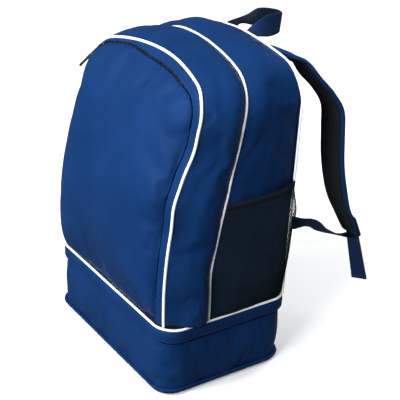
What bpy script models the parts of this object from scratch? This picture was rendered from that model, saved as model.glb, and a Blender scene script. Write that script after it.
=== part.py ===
"""A sports backpack with a hard shoe base, as separate pieces.

The frame is in metres with +Z up and the front panel facing -Y. The origin is the centre of the base's
underside.
The upper bag stands on the base and tilts back over the rear seam to open the shoe compartment, and the front
panel folds down over the main compartment. The upper bag is three arches (front, middle and rear) with fabric
gussets between them.
"""

import math

import bmesh
import bpy
from mathutils import Matrix, Vector

MM = 0.001
FIT_GAP = 0.3 * MM

# Base footprint and heights
WIDTH = 0.311
DEPTH = 0.219
BASE_HEIGHT = 0.111
FRONT_CORNER_R = 0.032
REAR_CORNER_R = 0.030
FABRIC = 2.0 * MM

# White piping cords
ARCH_PIPING_R = 2.8 * MM
RING_PIPING_R = 2.2 * MM
FOOT_Z = BASE_HEIGHT + RING_PIPING_R + 0.8 * MM

# Side view of the upper bag: the front and middle arches lie on circles, the rear arch on a leaning plane
FRONT_PROFILE_R = 0.70
FRONT_PROFILE_Y = -0.107 + FRONT_PROFILE_R
FRONT_PROFILE_Z = 0.1687
MIDDLE_PROFILE_R = 1.03
MIDDLE_PROFILE_Y = -0.0369 + MIDDLE_PROFILE_R
MIDDLE_PROFILE_Z = 0.128
REAR_FOOT_Y = DEPTH / 2 - 0.2 * MM
REAR_LEAN = 0.0191 / 0.369
REAR_TUCK = 10.0 * MM
REAR_TUCK_HEIGHT = 0.320

# How finely the arches are cut
LEG_STEPS = 6
CORNER_STEPS = 6
TOP_STEPS = 8

# Front zip, measured inwards from the front arch
TAPE_START = ARCH_PIPING_R + 0.4 * MM
TEETH_START = 12.6 * MM
TEETH_WIDTH = 1.5 * MM
TEETH_HEIGHT = 2.4 * MM
TAPE_THICK = 1.0 * MM
TEETH_MEET = TEETH_START + TEETH_WIDTH + FIT_GAP / 2
INNER_TAPE_START = TEETH_START + 2 * TEETH_WIDTH + 2 * FIT_GAP
INNER_TAPE_END = 24.0 * MM
PANEL_INSET = 19.0 * MM
PANEL_THICK = 6.0 * MM
PANEL_PUFF = 30.0 * MM
PUFF_POWER = 15.0
PUFF_FOOT = 17.0 * MM
PUFF_HEAD = 10.0 * MM

# Base zip, measured down from the base piping and inwards from the footprint
BASE_TAPE_INSET = 5.2 * MM
BASE_TEETH_Z = BASE_HEIGHT - 14.35 * MM
SKIRT_TOP = BASE_HEIGHT - 26.5 * MM
SKIRT_INSET = 3.5 * MM
FLAP_DROP = 19.0 * MM
BASE_PULL_X = -(WIDTH / 2 - SKIRT_INSET) - 0.4 * MM

# Side pockets
POCKET_TOP_FRONT = 0.279
POCKET_TOP_REAR = 0.292
POCKET_SHEET = 1.2 * MM
BINDING_HEIGHT = 11.0 * MM
BINDING_THICK = 2.4 * MM
POCKET_BULGE = 16.0 * MM
POCKET_SHARES = (0.040, 0.09, 0.20, 0.34, 0.48, 0.61, 0.73, 0.83, 0.90, 0.945, 0.965)

# Webbing and shoulder straps
WEB_WIDTH = 25.0 * MM
WEB_THICK = 1.6 * MM
STRAP_WIDTH = 50.0 * MM
LEFT_STRAP_DROP = 12.0 * MM
SHELL_INNER = 3.0 * MM
SHELL_OUTER = 5.5 * MM
LINING_THICK = 2.6 * MM
LINING_GAP = 0.6 * MM
LOCK_WIDTH = 35.0 * MM
LOCK_LENGTH = 36.0 * MM
LOCK_THICK = 4.5 * MM

COLOURS = {
    "royal_fabric": ((0.018, 0.075, 0.260), 0.62, 0.0),
    "white_piping": ((0.85, 0.87, 0.90), 0.45, 0.0),
    "navy_webbing": ((0.010, 0.035, 0.110), 0.70, 0.0),
    "black_mesh": ((0.010, 0.015, 0.016), 0.80, 0.0),
    "zip_tape": ((0.008, 0.028, 0.085), 0.70, 0.0),
    "black_plastic": ((0.012, 0.013, 0.014), 0.40, 0.0),
    "metal": ((0.030, 0.031, 0.034), 0.35, 0.9),
}


# ------------------------------------------------------------------ scene helpers


def clear_scene():
    for obj in list(bpy.data.objects):
        bpy.data.objects.remove(obj)


def material(name):
    found = bpy.data.materials.get(name)
    if found:
        return found
    colour, roughness, metallic = COLOURS[name]
    made = bpy.data.materials.new(name)
    made.use_nodes = True
    shader = made.node_tree.nodes["Principled BSDF"]
    shader.inputs["Base Color"].default_value = (*colour, 1.0)
    shader.inputs["Roughness"].default_value = roughness
    shader.inputs["Metallic"].default_value = metallic
    return made


def add_object(name, data, colour):
    obj = bpy.data.objects.new(name, data)
    bpy.context.scene.collection.objects.link(obj)
    obj.data.materials.append(material(colour))
    return obj


def loft(name, rings, colour, cyclic=False):
    """A closed solid through rings of points, with its two ends capped unless the row of rings is cyclic."""
    bm = bmesh.new()
    rows = [[bm.verts.new(p) for p in ring] for ring in rings]
    pairs = list(zip(rows, rows[1:]))
    if cyclic:
        pairs.append((rows[-1], rows[0]))
    for first, second in pairs:
        count = len(first)
        for i in range(count):
            j = (i + 1) % count
            bm.faces.new((first[i], first[j], second[j], second[i]))
    if not cyclic:
        bm.faces.new(rows[0])
        bm.faces.new(rows[-1])
    bmesh.ops.triangulate(bm, faces=bm.faces[:])
    bmesh.ops.recalc_face_normals(bm, faces=bm.faces[:])
    mesh = bpy.data.meshes.new(name)
    bm.to_mesh(mesh)
    bm.free()
    mesh.shade_smooth()
    mesh.set_sharp_from_angle(angle=math.radians(40))
    return add_object(name, mesh, colour)


def cord(name, points, radius, colour, cyclic=False):
    """A round cord along points."""
    curve = bpy.data.curves.new(name, "CURVE")
    curve.dimensions = "3D"
    spline = curve.splines.new("POLY")
    spline.points.add(len(points) - 1)
    for node, p in zip(spline.points, points):
        node.co = (*p, 1.0)
    spline.use_cyclic_u = cyclic
    curve.bevel_depth = radius
    curve.bevel_resolution = 1
    curve.use_fill_caps = True
    return add_object(name, curve, colour)


def smooth_line(points, steps):
    """A Catmull-Rom curve through points, with steps stretches between each two."""
    ends = [2 * points[0] - points[1], *points, 2 * points[-1] - points[-2]]
    line = []
    for a, b, c, d in zip(ends, ends[1:], ends[2:], ends[3:]):
        for k in range(steps):
            t = k / steps
            line.append(
                0.5
                * (2 * b + (c - a) * t + (2 * a - 5 * b + 4 * c - d) * t**2 + (3 * b - a - 3 * c + d) * t**3)
            )
    line.append(points[-1].copy())
    return line


def ribbon(name, line, width_dirs, widths, lows, highs, colour):
    """A band along line. Its width runs along width_dirs, and it lies from lows to highs along its normal."""
    rings = []
    for i, p in enumerate(line):
        ahead = (line[min(i + 1, len(line) - 1)] - line[max(i - 1, 0)]).normalized()
        normal = ahead.cross(width_dirs[i]).normalized()
        across = normal.cross(ahead).normalized()
        half = widths[i] / 2
        corners = ((-half, lows[i]), (half, lows[i]), (half, highs[i]), (-half, highs[i]))
        rings.append([p + across * a + normal * b for a, b in corners])
    return loft(name, rings, colour)


def webbing(name, line, width_dirs, thick=None):
    """A plain length of webbing along line."""
    half = (thick or WEB_THICK) / 2
    count = len(line)
    widths, lows, highs = [WEB_WIDTH] * count, [-half] * count, [half] * count
    return ribbon(name, line, width_dirs, widths, lows, highs, "navy_webbing")


def band(name, first_edge, second_edge, thick, colour):
    """A twisting band between two edges."""
    rings = []
    for i, (a, b) in enumerate(zip(first_edge, second_edge)):
        k, j = max(i - 1, 0), min(i + 1, len(first_edge) - 1)
        ahead = first_edge[j] + second_edge[j] - first_edge[k] - second_edge[k]
        normal = ahead.cross(b - a).normalized() * (thick / 2)
        rings.append([a - normal, b - normal, b + normal, a + normal])
    return loft(name, rings, colour)


def mirrored(points):
    return [Vector((-p.x, p.y, p.z)) for p in points]


# ------------------------------------------------------------------ outlines


def footprint(inset, steps=5):
    """The base's rounded outline, closed, from the middle of the rear side, anticlockwise seen from above."""
    hx, hy = WIDTH / 2 - inset, DEPTH / 2 - inset
    front, rear = FRONT_CORNER_R - inset, REAR_CORNER_R - inset
    corners = (
        (-hx + rear, hy - rear, rear, 90),
        (-hx + front, -hy + front, front, 180),
        (hx - front, -hy + front, front, 270),
        (hx - rear, hy - rear, rear, 0),
    )
    outline = []
    for cx, cy, radius, start in corners:
        for k in range(steps + 1):
            a = math.radians(start + 90 * k / steps)
            outline.append(Vector((cx + radius * math.cos(a), cy + radius * math.sin(a), 0)))
    return outline


def at_height(outline, z):
    return [Vector((p.x, p.y, z)) for p in outline]


def tuck(z):
    """How far the rear edges are drawn in at height z: 1 at the foot, falling to 0."""
    return max(0.0, 1 - (z - BASE_HEIGHT) / REAR_TUCK_HEIGHT) ** 1.1


def smoothstep(t):
    t = min(1.0, max(0.0, t))
    return t * t * (3 - 2 * t)


class Arch:
    """An arch of straight legs, round corners and a slightly crowned top, set on a side profile.

    Its left shoulder hangs lower than its right one by slump, which begins at slump_x."""

    def __init__(self, half_width, top_z, corner_r, top_r, depth_at, foot_in=0.0, slump=0.0, slump_x=0.02):
        self.half_width, self.top_z, self.foot_in = half_width, top_z, foot_in
        self.slump, self.slump_x = slump, slump_x
        self.corner_r, self.top_r = corner_r, top_r
        self.depth_at = depth_at
        self.top_centre_z = top_z - top_r
        self.corner_x = half_width - corner_r
        self.corner_z = self.top_centre_z + math.sqrt((top_r - corner_r) ** 2 - self.corner_x**2)
        self.meet = math.atan2(self.corner_z - self.top_centre_z, self.corner_x)

    def flat(self, inset=0.0, foot_z=FOOT_Z):
        """(x, z, normal x, normal z) from the right foot over the top to the left foot."""
        right = []
        for k in range(LEG_STEPS):
            z = foot_z + (self.corner_z - foot_z) * k / LEG_STEPS
            right.append((self.half_width - inset - self.foot_in * tuck(z), z, 1.0, 0.0))
        for k in range(CORNER_STEPS):
            a = self.meet * k / CORNER_STEPS
            c, s = math.cos(a), math.sin(a)
            radius = self.corner_r - inset
            right.append((self.corner_x + radius * c, self.corner_z + radius * s, c, s))
        for k in range(TOP_STEPS // 2):
            a = self.meet + (math.pi / 2 - self.meet) * k / (TOP_STEPS // 2)
            c, s = math.cos(a), math.sin(a)
            radius = self.top_r - inset
            right.append((radius * c, self.top_centre_z + radius * s, c, s))
        crown = (0.0, self.top_z - inset, 0.0, 1.0)
        even = [*right, crown, *((-x, z, -nx, nz) for x, z, nx, nz in reversed(right))]
        return [(x, self.slumped(x, z), nx, nz) for x, z, nx, nz in even]

    def slumped(self, x, z):
        """The height that a point of an even arch hangs at."""
        return z - self.slump * smoothstep((self.slump_x - x) / 0.16) * smoothstep((z - 0.24) / 0.16)

    def line(self, inset=0.0, lift=0.0, foot_z=FOOT_Z):
        """The arch in space, moved inwards by inset and forwards by lift."""
        return [Vector((x, self.depth_at(z) - lift, z)) for x, z, _, _ in self.flat(inset, foot_z)]


def front_depth(z):
    return FRONT_PROFILE_Y - math.sqrt(FRONT_PROFILE_R**2 - (z - FRONT_PROFILE_Z) ** 2)


def middle_depth(z):
    return MIDDLE_PROFILE_Y - math.sqrt(MIDDLE_PROFILE_R**2 - (z - MIDDLE_PROFILE_Z) ** 2)


def back_line(z):
    """The middle of the back, a straight line that leans forwards."""
    return REAR_FOOT_Y - REAR_LEAN * (z - BASE_HEIGHT)


def rear_depth(z):
    """The rear edges follow the back's line, drawn in towards the base's rounded corners."""
    return back_line(z) - REAR_TUCK * tuck(z)


def back_surface(x, z):
    """The back panel's face: the rear edges' depth at its sides and the back's line at its middle."""
    share = min(1.0, abs(x) / 0.150)
    return rear_depth(z) + (back_line(z) - rear_depth(z)) * (1 - share**4)


FRONT_ARCH = Arch(0.1400, 0.4704, 0.048, 0.37, front_depth, slump=4.0 * MM, slump_x=0.06)
MIDDLE_ARCH = Arch(0.1547, 0.4780, 0.075, 0.36, middle_depth, slump=9.0 * MM)
REAR_ARCH = Arch(0.1518, 0.4800, 0.050, 0.70, rear_depth, foot_in=6.0 * MM, slump=22.0 * MM)


# ------------------------------------------------------------------ base


def cup(name, inset, wall, bottom, top, floor, colour):
    """An open tray: outer wall from bottom to top, and an inner floor at height floor."""
    outer, inner = footprint(inset), footprint(inset + wall)
    rings = [at_height(outer, bottom), at_height(outer, top), at_height(inner, top), at_height(inner, floor)]
    return loft(name, rings, colour)


def zip_band(name, inner, outer, low, high, colour):
    """A band round the footprint, open along the rear side."""
    inside, outside = footprint(inner), footprint(outer)
    rings = []
    for a, b in zip(inside, outside):
        corners = ((a, low), (b, low), (b, high), (a, high))
        rings.append([Vector((p.x, p.y, z)) for p, z in corners])
    return loft(name, rings, colour)


def build_base():
    floor_thick = 1.6 * MM
    cup("base_skirt", SKIRT_INSET, FABRIC, 0.0, SKIRT_TOP, floor_thick, "royal_fabric")
    tray_inset = SKIRT_INSET + FABRIC + FIT_GAP
    tray_wall = 2.0 * MM
    tray_bottom, tray_top = floor_thick + FIT_GAP, SKIRT_TOP - 3 * MM
    tray_floor = tray_bottom + tray_wall
    cup("base_tray", tray_inset, tray_wall, tray_bottom, tray_top, tray_floor, "black_plastic")
    binding_r = 2.2 * MM
    binding_inset = SKIRT_INSET - binding_r - FIT_GAP
    ring = at_height(footprint(binding_inset), 7 * MM)
    cord("base_bottom_binding", ring, binding_r, "royal_fabric", cyclic=True)

    tape_in, tape_out = BASE_TAPE_INSET + TAPE_THICK, BASE_TAPE_INSET
    lower_teeth_top = BASE_TEETH_Z - FIT_GAP / 2
    upper_teeth_low = BASE_TEETH_Z + FIT_GAP / 2
    teeth_in, teeth_out = tape_in + 0.5 * MM, tape_out - 0.7 * MM
    lower_teeth_low = lower_teeth_top - TEETH_WIDTH
    upper_teeth_top = upper_teeth_low + TEETH_WIDTH
    tape_low, tape_top = SKIRT_TOP + FIT_GAP, BASE_HEIGHT - RING_PIPING_R - 0.4 * MM
    zip_band("base_zip_tape_lower", tape_in, tape_out, tape_low, lower_teeth_low - FIT_GAP, "zip_tape")
    zip_band("base_zip_teeth_lower", teeth_in, teeth_out, lower_teeth_low, lower_teeth_top, "zip_tape")
    zip_band("base_zip_teeth_upper", teeth_in, teeth_out, upper_teeth_low, upper_teeth_top, "zip_tape")
    zip_band("base_zip_tape_upper", tape_in, tape_out, upper_teeth_top + FIT_GAP, tape_top, "zip_tape")
    zip_band("base_zip_flap", 0.4 * MM, -1.2 * MM, tape_top - FLAP_DROP, tape_top, "royal_fabric")

    half = WIDTH / 2 - REAR_CORNER_R - FIT_GAP
    y_out, y_in = DEPTH / 2 - tape_out, DEPTH / 2 - tape_in
    corners = [(y_in, tape_low), (y_out, tape_low), (y_out, tape_top), (y_in, tape_top)]
    loft("rear_hinge_tape", [[Vector((x, y, z)) for y, z in corners] for x in (-half, half)], "royal_fabric")


def build_slider(name, place, along, out, colour="metal", length=11 * MM, width=8 * MM):
    """A zip slider: a top plate with a raised bridge. Its length runs along the zip."""
    plate, bridge = 1.8 * MM, 3.4 * MM
    across = along.cross(out).normalized()
    half_l, half_w = length / 2, width / 2
    bridge_ends = [(half_l * 0.55, bridge), (-half_l * 0.35, bridge)]
    section = [(-half_l, 0), (half_l, 0), (half_l, plate), *bridge_ends, (-half_l, plate)]
    rings = []
    for side in (-half_w, -half_w * 0.4, half_w * 0.4, half_w):
        raised = abs(side) < half_w * 0.5
        ring = []
        for a, b in section:
            height = b if raised else min(b, plate)
            ring.append(place + along * a + across * side + out * height)
        rings.append(ring)
    return loft(name, rings, colour)


def build_pull(name, hinge, along, out, length, width=5 * MM, thick=1.8 * MM):
    """A cord-and-tab zip pull that hangs from hinge along the given direction."""
    across = along.cross(out).normalized()
    rings = []
    for share, spread in ((0.0, 0.55), (0.35, 0.5), (0.42, 0.85), (0.55, 1.0), (0.92, 1.0), (1.0, 0.7)):
        half = across * (width / 2 * spread)
        p = hinge + along * (length * share)
        rings.append([p - half, p + half, p + half + out * thick, p - half + out * thick])
    return loft(name, rings, "black_plastic")


def build_base_sliders():
    """Two sliders that meet on the left side, under the flap."""
    out = Vector((-1, 0, 0))
    face_x = -(WIDTH / 2 - (BASE_TAPE_INSET - 0.7 * MM)) - FIT_GAP
    for name, y, direction in (("front", -0.008, 1), ("rear", 0.008, -1)):
        along = Vector((0, direction, 0))
        place = Vector((face_x, y, BASE_TEETH_Z))
        build_slider(f"base_zip_slider_{name}", place, along, out, width=7 * MM, length=10 * MM)
        hinge = Vector((BASE_PULL_X, y, BASE_TEETH_Z - 3.9 * MM))
        build_pull(f"base_zip_pull_{name}", hinge, Vector((0, 0, -1)), out, 24 * MM, thick=1.5 * MM)


# ------------------------------------------------------------------ upper bag


def build_pipings():
    for name, arch in (("front_piping", FRONT_ARCH), ("middle_piping", MIDDLE_ARCH)):
        cord(name, arch.line(foot_z=FOOT_Z + 0.2 * MM), ARCH_PIPING_R, "white_piping")
    cord("rear_piping", REAR_ARCH.line(foot_z=FOOT_Z + 0.2 * MM), RING_PIPING_R, "white_piping")
    cord("base_piping", at_height(footprint(0.0), BASE_HEIGHT), RING_PIPING_R, "white_piping", cyclic=True)


def gusset(name, first, second, first_gap, second_gap, side_bulge, top_bulge, skew, steps=6):
    """The fabric band between two arches. It bulges outwards, most at the share of its width skew sets."""
    rings = []
    for (ax, az, anx, anz), (bx, bz, bnx, bnz) in zip(first.flat(), second.flat()):
        a = Vector((ax, first.depth_at(az), az))
        b = Vector((bx, second.depth_at(bz), bz))
        out = Vector(((anx + bnx) / 2, 0, (anz + bnz) / 2)).normalized()
        bulge = side_bulge + (top_bulge - side_bulge) * out.z**2
        span = (b - a).length
        outer = []
        for k in range(steps + 1):
            t = first_gap / span + (1 - (first_gap + second_gap) / span) * k / steps
            outer.append(a.lerp(b, t) + out * (bulge * math.sin(math.pi * t**skew)))
        rings.append(outer + [p - out * FABRIC for p in reversed(outer)])
    return loft(name, rings, "royal_fabric")


FRONT_GUSSET = {"side_bulge": 9.5 * MM, "top_bulge": 5.0 * MM, "skew": 0.62}
REAR_GUSSET = {"side_bulge": 3.5 * MM, "top_bulge": 4.0 * MM, "skew": 1.0}


def build_gussets():
    gap = ARCH_PIPING_R + 0.4 * MM
    rear_gap = RING_PIPING_R + 0.4 * MM
    gusset("front_gusset", FRONT_ARCH, MIDDLE_ARCH, gap, gap, **FRONT_GUSSET)
    gusset("rear_gusset", MIDDLE_ARCH, REAR_ARCH, gap, rear_gap, **REAR_GUSSET)


def arch_strip(name, start, end, low, high, colour):
    """A band that follows the front arch, from inset start to end, between two lifts off the profile."""
    corners = ((start, low), (end, low), (end, high), (start, high))
    edges = [FRONT_ARCH.line(inset, lift) for inset, lift in corners]
    return loft(name, [list(ring) for ring in zip(*edges)], colour)


def build_front_zip():
    half = TAPE_THICK / 2
    arch_strip("front_zip_tape_outer", TAPE_START, TEETH_START - FIT_GAP, -half, half, "zip_tape")
    flap_low = half + FIT_GAP
    arch_strip("front_zip_flap", TAPE_START, 9.0 * MM, flap_low, flap_low + 1.4 * MM, "royal_fabric")
    tall = TEETH_HEIGHT / 2
    arch_strip("front_zip_teeth_outer", TEETH_START, TEETH_START + TEETH_WIDTH, -tall, tall, "zip_tape")
    inner_teeth = TEETH_START + TEETH_WIDTH + FIT_GAP
    arch_strip("front_zip_teeth_inner", inner_teeth, inner_teeth + TEETH_WIDTH, -tall, tall, "zip_tape")
    arch_strip("front_zip_tape_inner", INNER_TAPE_START, INNER_TAPE_END, -half, half, "zip_tape")


def panel_outline():
    """(x, z) round the front panel: from its right foot over the top to its left foot, then the bottom."""
    arch = [(x, z) for x, z, _, _ in FRONT_ARCH.flat(PANEL_INSET, FOOT_Z + 1 * MM)]
    bottom_steps = 8
    right, left = arch[0], arch[-1]
    bottom = []
    for k in range(1, bottom_steps):
        t = k / bottom_steps
        bottom.append((left[0] + (right[0] - left[0]) * t, left[1]))
    return arch + bottom


def panel_puff(x, z, share):
    """How far the stuffed panel stands up: steep at its sides, and gentler at its foot and head."""
    head_z = FRONT_ARCH.top_centre_z + math.sqrt((FRONT_ARCH.top_r - PANEL_INSET) ** 2 - x**2)
    foot = 1 - math.exp(-max(0.0, z - FOOT_Z) / PUFF_FOOT)
    head = 1 - math.exp(-max(0.0, head_z - z) / PUFF_HEAD)
    return PANEL_PUFF * (1 - share**PUFF_POWER) * foot * head


def panel_ring(share, lift, least=-1.0):
    """The panel's outline drawn in to a share of its size about its middle, at a lift off the puffed face."""
    middle_z = 0.28
    ring = []
    for x, z in panel_outline():
        px, pz = x * share, middle_z + (z - middle_z) * share
        height = max(least, panel_puff(px, pz, share) + lift)
        ring.append(Vector((px, front_depth(pz) - height, pz)))
    return ring


def build_front_panel():
    """The stuffed panel. Its edge lies over the inner zip tape and its face stands well proud of the zip."""
    shares = (0.10, 0.40, 0.64, 0.79, 0.87, 0.925, 0.97)
    edge_low, edge_high = 0.8 * MM, 3.5 * MM
    rings = [panel_ring(share, edge_high - PANEL_THICK, edge_low) for share in shares]
    rings.append(panel_ring(1.0, edge_low))
    rings.append(panel_ring(1.0, edge_high - 1.0 * MM))
    rings.extend(panel_ring(share, edge_high) for share in reversed(shares))
    loft("front_panel", rings, "royal_fabric")


def frame_on_front(x, z, lift):
    """A point in front of the profile at (x, z), and the profile's upward and outward directions there."""
    slope = (z - FRONT_PROFILE_Z) / FRONT_PROFILE_R
    up = Vector((0, slope, math.sqrt(1 - slope**2)))
    out = Vector((0, -up.z, up.y))
    return Vector((x, front_depth(z), z)) + out * lift, up, out


def build_front_sliders():
    """Two sliders that meet at the top left corner: one runs down the leg, and the other over the corner."""
    lift = TEETH_HEIGHT / 2 + FIT_GAP
    leg_x = -(FRONT_ARCH.half_width - TEETH_MEET)
    place, up, out = frame_on_front(leg_x, 0.394, lift)
    build_slider("front_zip_slider_side", place, -up, out)
    hinge = place + out * 3.9 * MM - up * 2.5 * MM
    build_pull("front_zip_pull_side", hinge, -up, out, 38 * MM)

    turn = math.radians(52)
    radius = FRONT_ARCH.corner_r - TEETH_MEET
    x = -(FRONT_ARCH.corner_x + radius * math.cos(turn))
    z = FRONT_ARCH.corner_z + radius * math.sin(turn)
    place, up, out = frame_on_front(x, FRONT_ARCH.slumped(x, z), lift)
    right = Vector((1, 0, 0))
    along = right * math.sin(turn) + up * math.cos(turn)
    build_slider("front_zip_slider_corner", place, along, out)
    hang = (-right * 0.52 - up * 0.85).normalized()
    hinge = place + out * 3.9 * MM + hang * 1.5 * MM
    build_pull("front_zip_pull_corner", hinge, hang, out, 50 * MM)


def back_plate(name, rows, front, back, colour, columns=8):
    """A plate on the back between two distances off it. Each row runs from a left to a right (x, z)."""
    rings = []
    for (left, left_z), (right, right_z) in rows:
        steps = [k / columns for k in range(columns + 1)]
        line = [(left + (right - left) * t, left_z + (right_z - left_z) * t) for t in steps]
        inner = [Vector((x, back_surface(x, z) + front, z)) for x, z in line]
        outer = [Vector((x, back_surface(x, z) + back, z)) for x, z in reversed(line)]
        rings.append(inner + outer)
    return loft(name, rings, colour)


def level_row(z, half_width):
    return (-half_width, z), (half_width, z)


def rounded_rows(half_width, low, high, radius, steps=3, middles=3):
    """Rows up a plate with round corners."""
    levels = []
    for k in range(steps + 1):
        a = math.radians(90 * k / steps)
        levels.append((radius * (1 - math.cos(a)), half_width - radius * (1 - math.sin(a))))
    rows = [level_row(low + rise, half) for rise, half in levels]
    for k in range(1, middles + 1):
        rows.append(level_row(low + radius + (high - low - 2 * radius) * k / (middles + 1), half_width))
    return rows + [level_row(high - rise, half) for rise, half in reversed(levels)]


def build_back():
    arch = REAR_ARCH.flat(RING_PIPING_R + 0.4 * MM)
    half = len(arch) // 2
    sides = zip(arch[:half], reversed(arch[half + 1 :]))
    rows = [((lx, lz), (rx, rz)) for (rx, rz, _, _), (lx, lz, _, _) in sides]
    back_plate("back_panel", rows, -5 * MM, 2.0 * MM, "royal_fabric")
    back_plate("back_pad", rounded_rows(0.118, 0.150, 0.412, 0.022), 2.3 * MM, 10.0 * MM, "black_mesh")
    yoke_rows = rounded_rows(0.092, 0.420, 0.4515, 0.006, middles=1)
    back_plate("strap_yoke", yoke_rows, 2.3 * MM, 4.5 * MM, "navy_webbing")


def build_floor_panel():
    outline = footprint(RING_PIPING_R + 0.4 * MM)
    rings = [at_height(outline, BASE_HEIGHT - 1.5 * MM), at_height(outline, BASE_HEIGHT + 1.5 * MM)]
    loft("floor_panel", rings, "black_plastic")


def side_surface(share, z):
    """A point on the right side between the middle arch (share 0) and the rear arch (share 1) at height z."""
    y = middle_depth(z) + (rear_depth(z) - middle_depth(z)) * share
    rear_x = REAR_ARCH.half_width - REAR_ARCH.foot_in * tuck(z)
    x = MIDDLE_ARCH.half_width + (rear_x - MIDDLE_ARCH.half_width) * share
    return Vector((x + REAR_GUSSET["side_bulge"] * math.sin(math.pi * share), y, z))


def pocket_point(share, rise, away):
    """A point of the right pocket's sheet: rise 0 is its foot and 1 its mouth.

    The sheet bellies off the side, and towards the rear edge it bellies backwards too."""
    mouth_z = POCKET_TOP_FRONT + (POCKET_TOP_REAR - POCKET_TOP_FRONT) * share
    z = FOOT_Z + 0.5 * MM + (mouth_z - FOOT_Z - 0.5 * MM) * rise
    across = (share - POCKET_SHARES[0]) / (POCKET_SHARES[-1] - POCKET_SHARES[0])
    rounding = max(0.0, math.sin(math.pi * across**2.4)) ** 0.35
    belly = math.sin(math.pi * (0.05 + 0.76 * rise)) ** 0.8
    turn = math.radians(52) * share**3
    out = Vector((math.cos(turn), math.sin(turn), 0))
    return side_surface(share, z) + out * (0.5 * MM + POCKET_BULGE * rounding * belly + away)


def build_pocket(side, mirror):
    rise_steps = 6
    rings = []
    for r in range(rise_steps + 1):
        rise = r / rise_steps
        outer = [pocket_point(s, rise, POCKET_SHEET) for s in POCKET_SHARES]
        inner = [pocket_point(s, rise, 0.0) for s in reversed(POCKET_SHARES)]
        rings.append(outer + inner)
    loft(f"side_pocket_{side}", [mirrored(r) for r in rings] if mirror else rings, "black_mesh")
    binding = []
    for s in POCKET_SHARES:
        lift = Vector((0, 0, FIT_GAP))
        base = [pocket_point(s, 1.0, 0.0) + lift, pocket_point(s, 1.0, BINDING_THICK) + lift]
        top = [p + Vector((0, 0, BINDING_HEIGHT)) for p in reversed(base)]
        binding.append(base + top)
    loft(f"pocket_binding_{side}", [mirrored(r) for r in binding] if mirror else binding, "black_mesh")


def build_handle():
    """The haul loop, on edge at its grip, and the two tabs that hold its ends under the rear piping."""
    upper = [
        Vector((-0.0330, 0.0990, 0.4745)),
        Vector((-0.0275, 0.1270, 0.4820)),
        Vector((-0.0150, 0.1400, 0.4950)),
        Vector((-0.0030, 0.1600, 0.4945)),
        Vector((0.0050, 0.1665, 0.4920)),
        Vector((0.0120, 0.1580, 0.4935)),
        Vector((0.0150, 0.1330, 0.4945)),
        Vector((0.0140, 0.1120, 0.4850)),
        Vector((0.0110, 0.0990, 0.4735)),
    ]
    lower = [
        Vector((-0.0100, 0.0990, 0.4735)),
        Vector((-0.0180, 0.1140, 0.4745)),
        Vector((-0.0110, 0.1370, 0.4690)),
        Vector((-0.0020, 0.1580, 0.4640)),
        Vector((0.0050, 0.1640, 0.4622)),
        Vector((0.0150, 0.1560, 0.4635)),
        Vector((0.0250, 0.1340, 0.4655)),
        Vector((0.0330, 0.1130, 0.4710)),
        Vector((0.0350, 0.0990, 0.4745)),
    ]
    band("haul_handle", smooth_line(upper, 3), smooth_line(lower, 3), 2.4 * MM, "navy_webbing")
    for side, left, right in (("right", 0.0105, 0.0350), ("left", -0.0335, -0.0095)):
        rows = [((left, z), (right, z)) for z in (0.4555, 0.4640, 0.4725)]
        back_plate(f"handle_anchor_{side}", rows, 2.3 * MM, 4.9 * MM, "navy_webbing", columns=2)


# ------------------------------------------------------------------ shoulder straps


STRAP_LINE = [
    Vector((0.0610, 0.1000, 0.4595)),
    Vector((0.0617, 0.1110, 0.4610)),
    Vector((0.0720, 0.1260, 0.4560)),
    Vector((0.0865, 0.1370, 0.4450)),
    Vector((0.1015, 0.1500, 0.4284)),
    Vector((0.1130, 0.1650, 0.4067)),
    Vector((0.1195, 0.1790, 0.3790)),
    Vector((0.1235, 0.1865, 0.3450)),
    Vector((0.1260, 0.1895, 0.3060)),
    Vector((0.1290, 0.1945, 0.2700)),
    Vector((0.1325, 0.2050, 0.2320)),
    Vector((0.1360, 0.2190, 0.2020)),
    Vector((0.1385, 0.2285, 0.1790)),
]
STRAP_DIR = Vector((1.0, -0.12, 0.05))
TAIL_END = Vector((0.1410, 0.2610, 0.0880))
WEB_LINE = [
    Vector((0.1380, 0.1095, 0.2242)),
    Vector((0.1475, 0.1200, 0.2243)),
    Vector((0.1480, 0.1363, 0.2209)),
    Vector((0.1470, 0.1500, 0.2131)),
    Vector((0.1455, 0.1650, 0.2010)),
    Vector((0.1420, 0.1925, 0.1850)),
    Vector((0.1390, 0.2195, 0.1730)),
]


def strap_share(k, count):
    """(width, thickness) shares at station k: drawn in at the root and at the lower end."""
    share = k / (count - 1)
    root = min(1.0, share / 0.15)
    end = min(1.0, (1 - share) / 0.14)
    flat_end = min(1.0, max(0.0, (1 - share - 0.09) / 0.14))
    width = (0.80 + 0.20 * root) * (0.58 + 0.42 * end**0.6)
    thickness = (0.45 + 0.55 * root) * (0.45 + 0.55 * flat_end)
    return width, thickness


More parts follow.
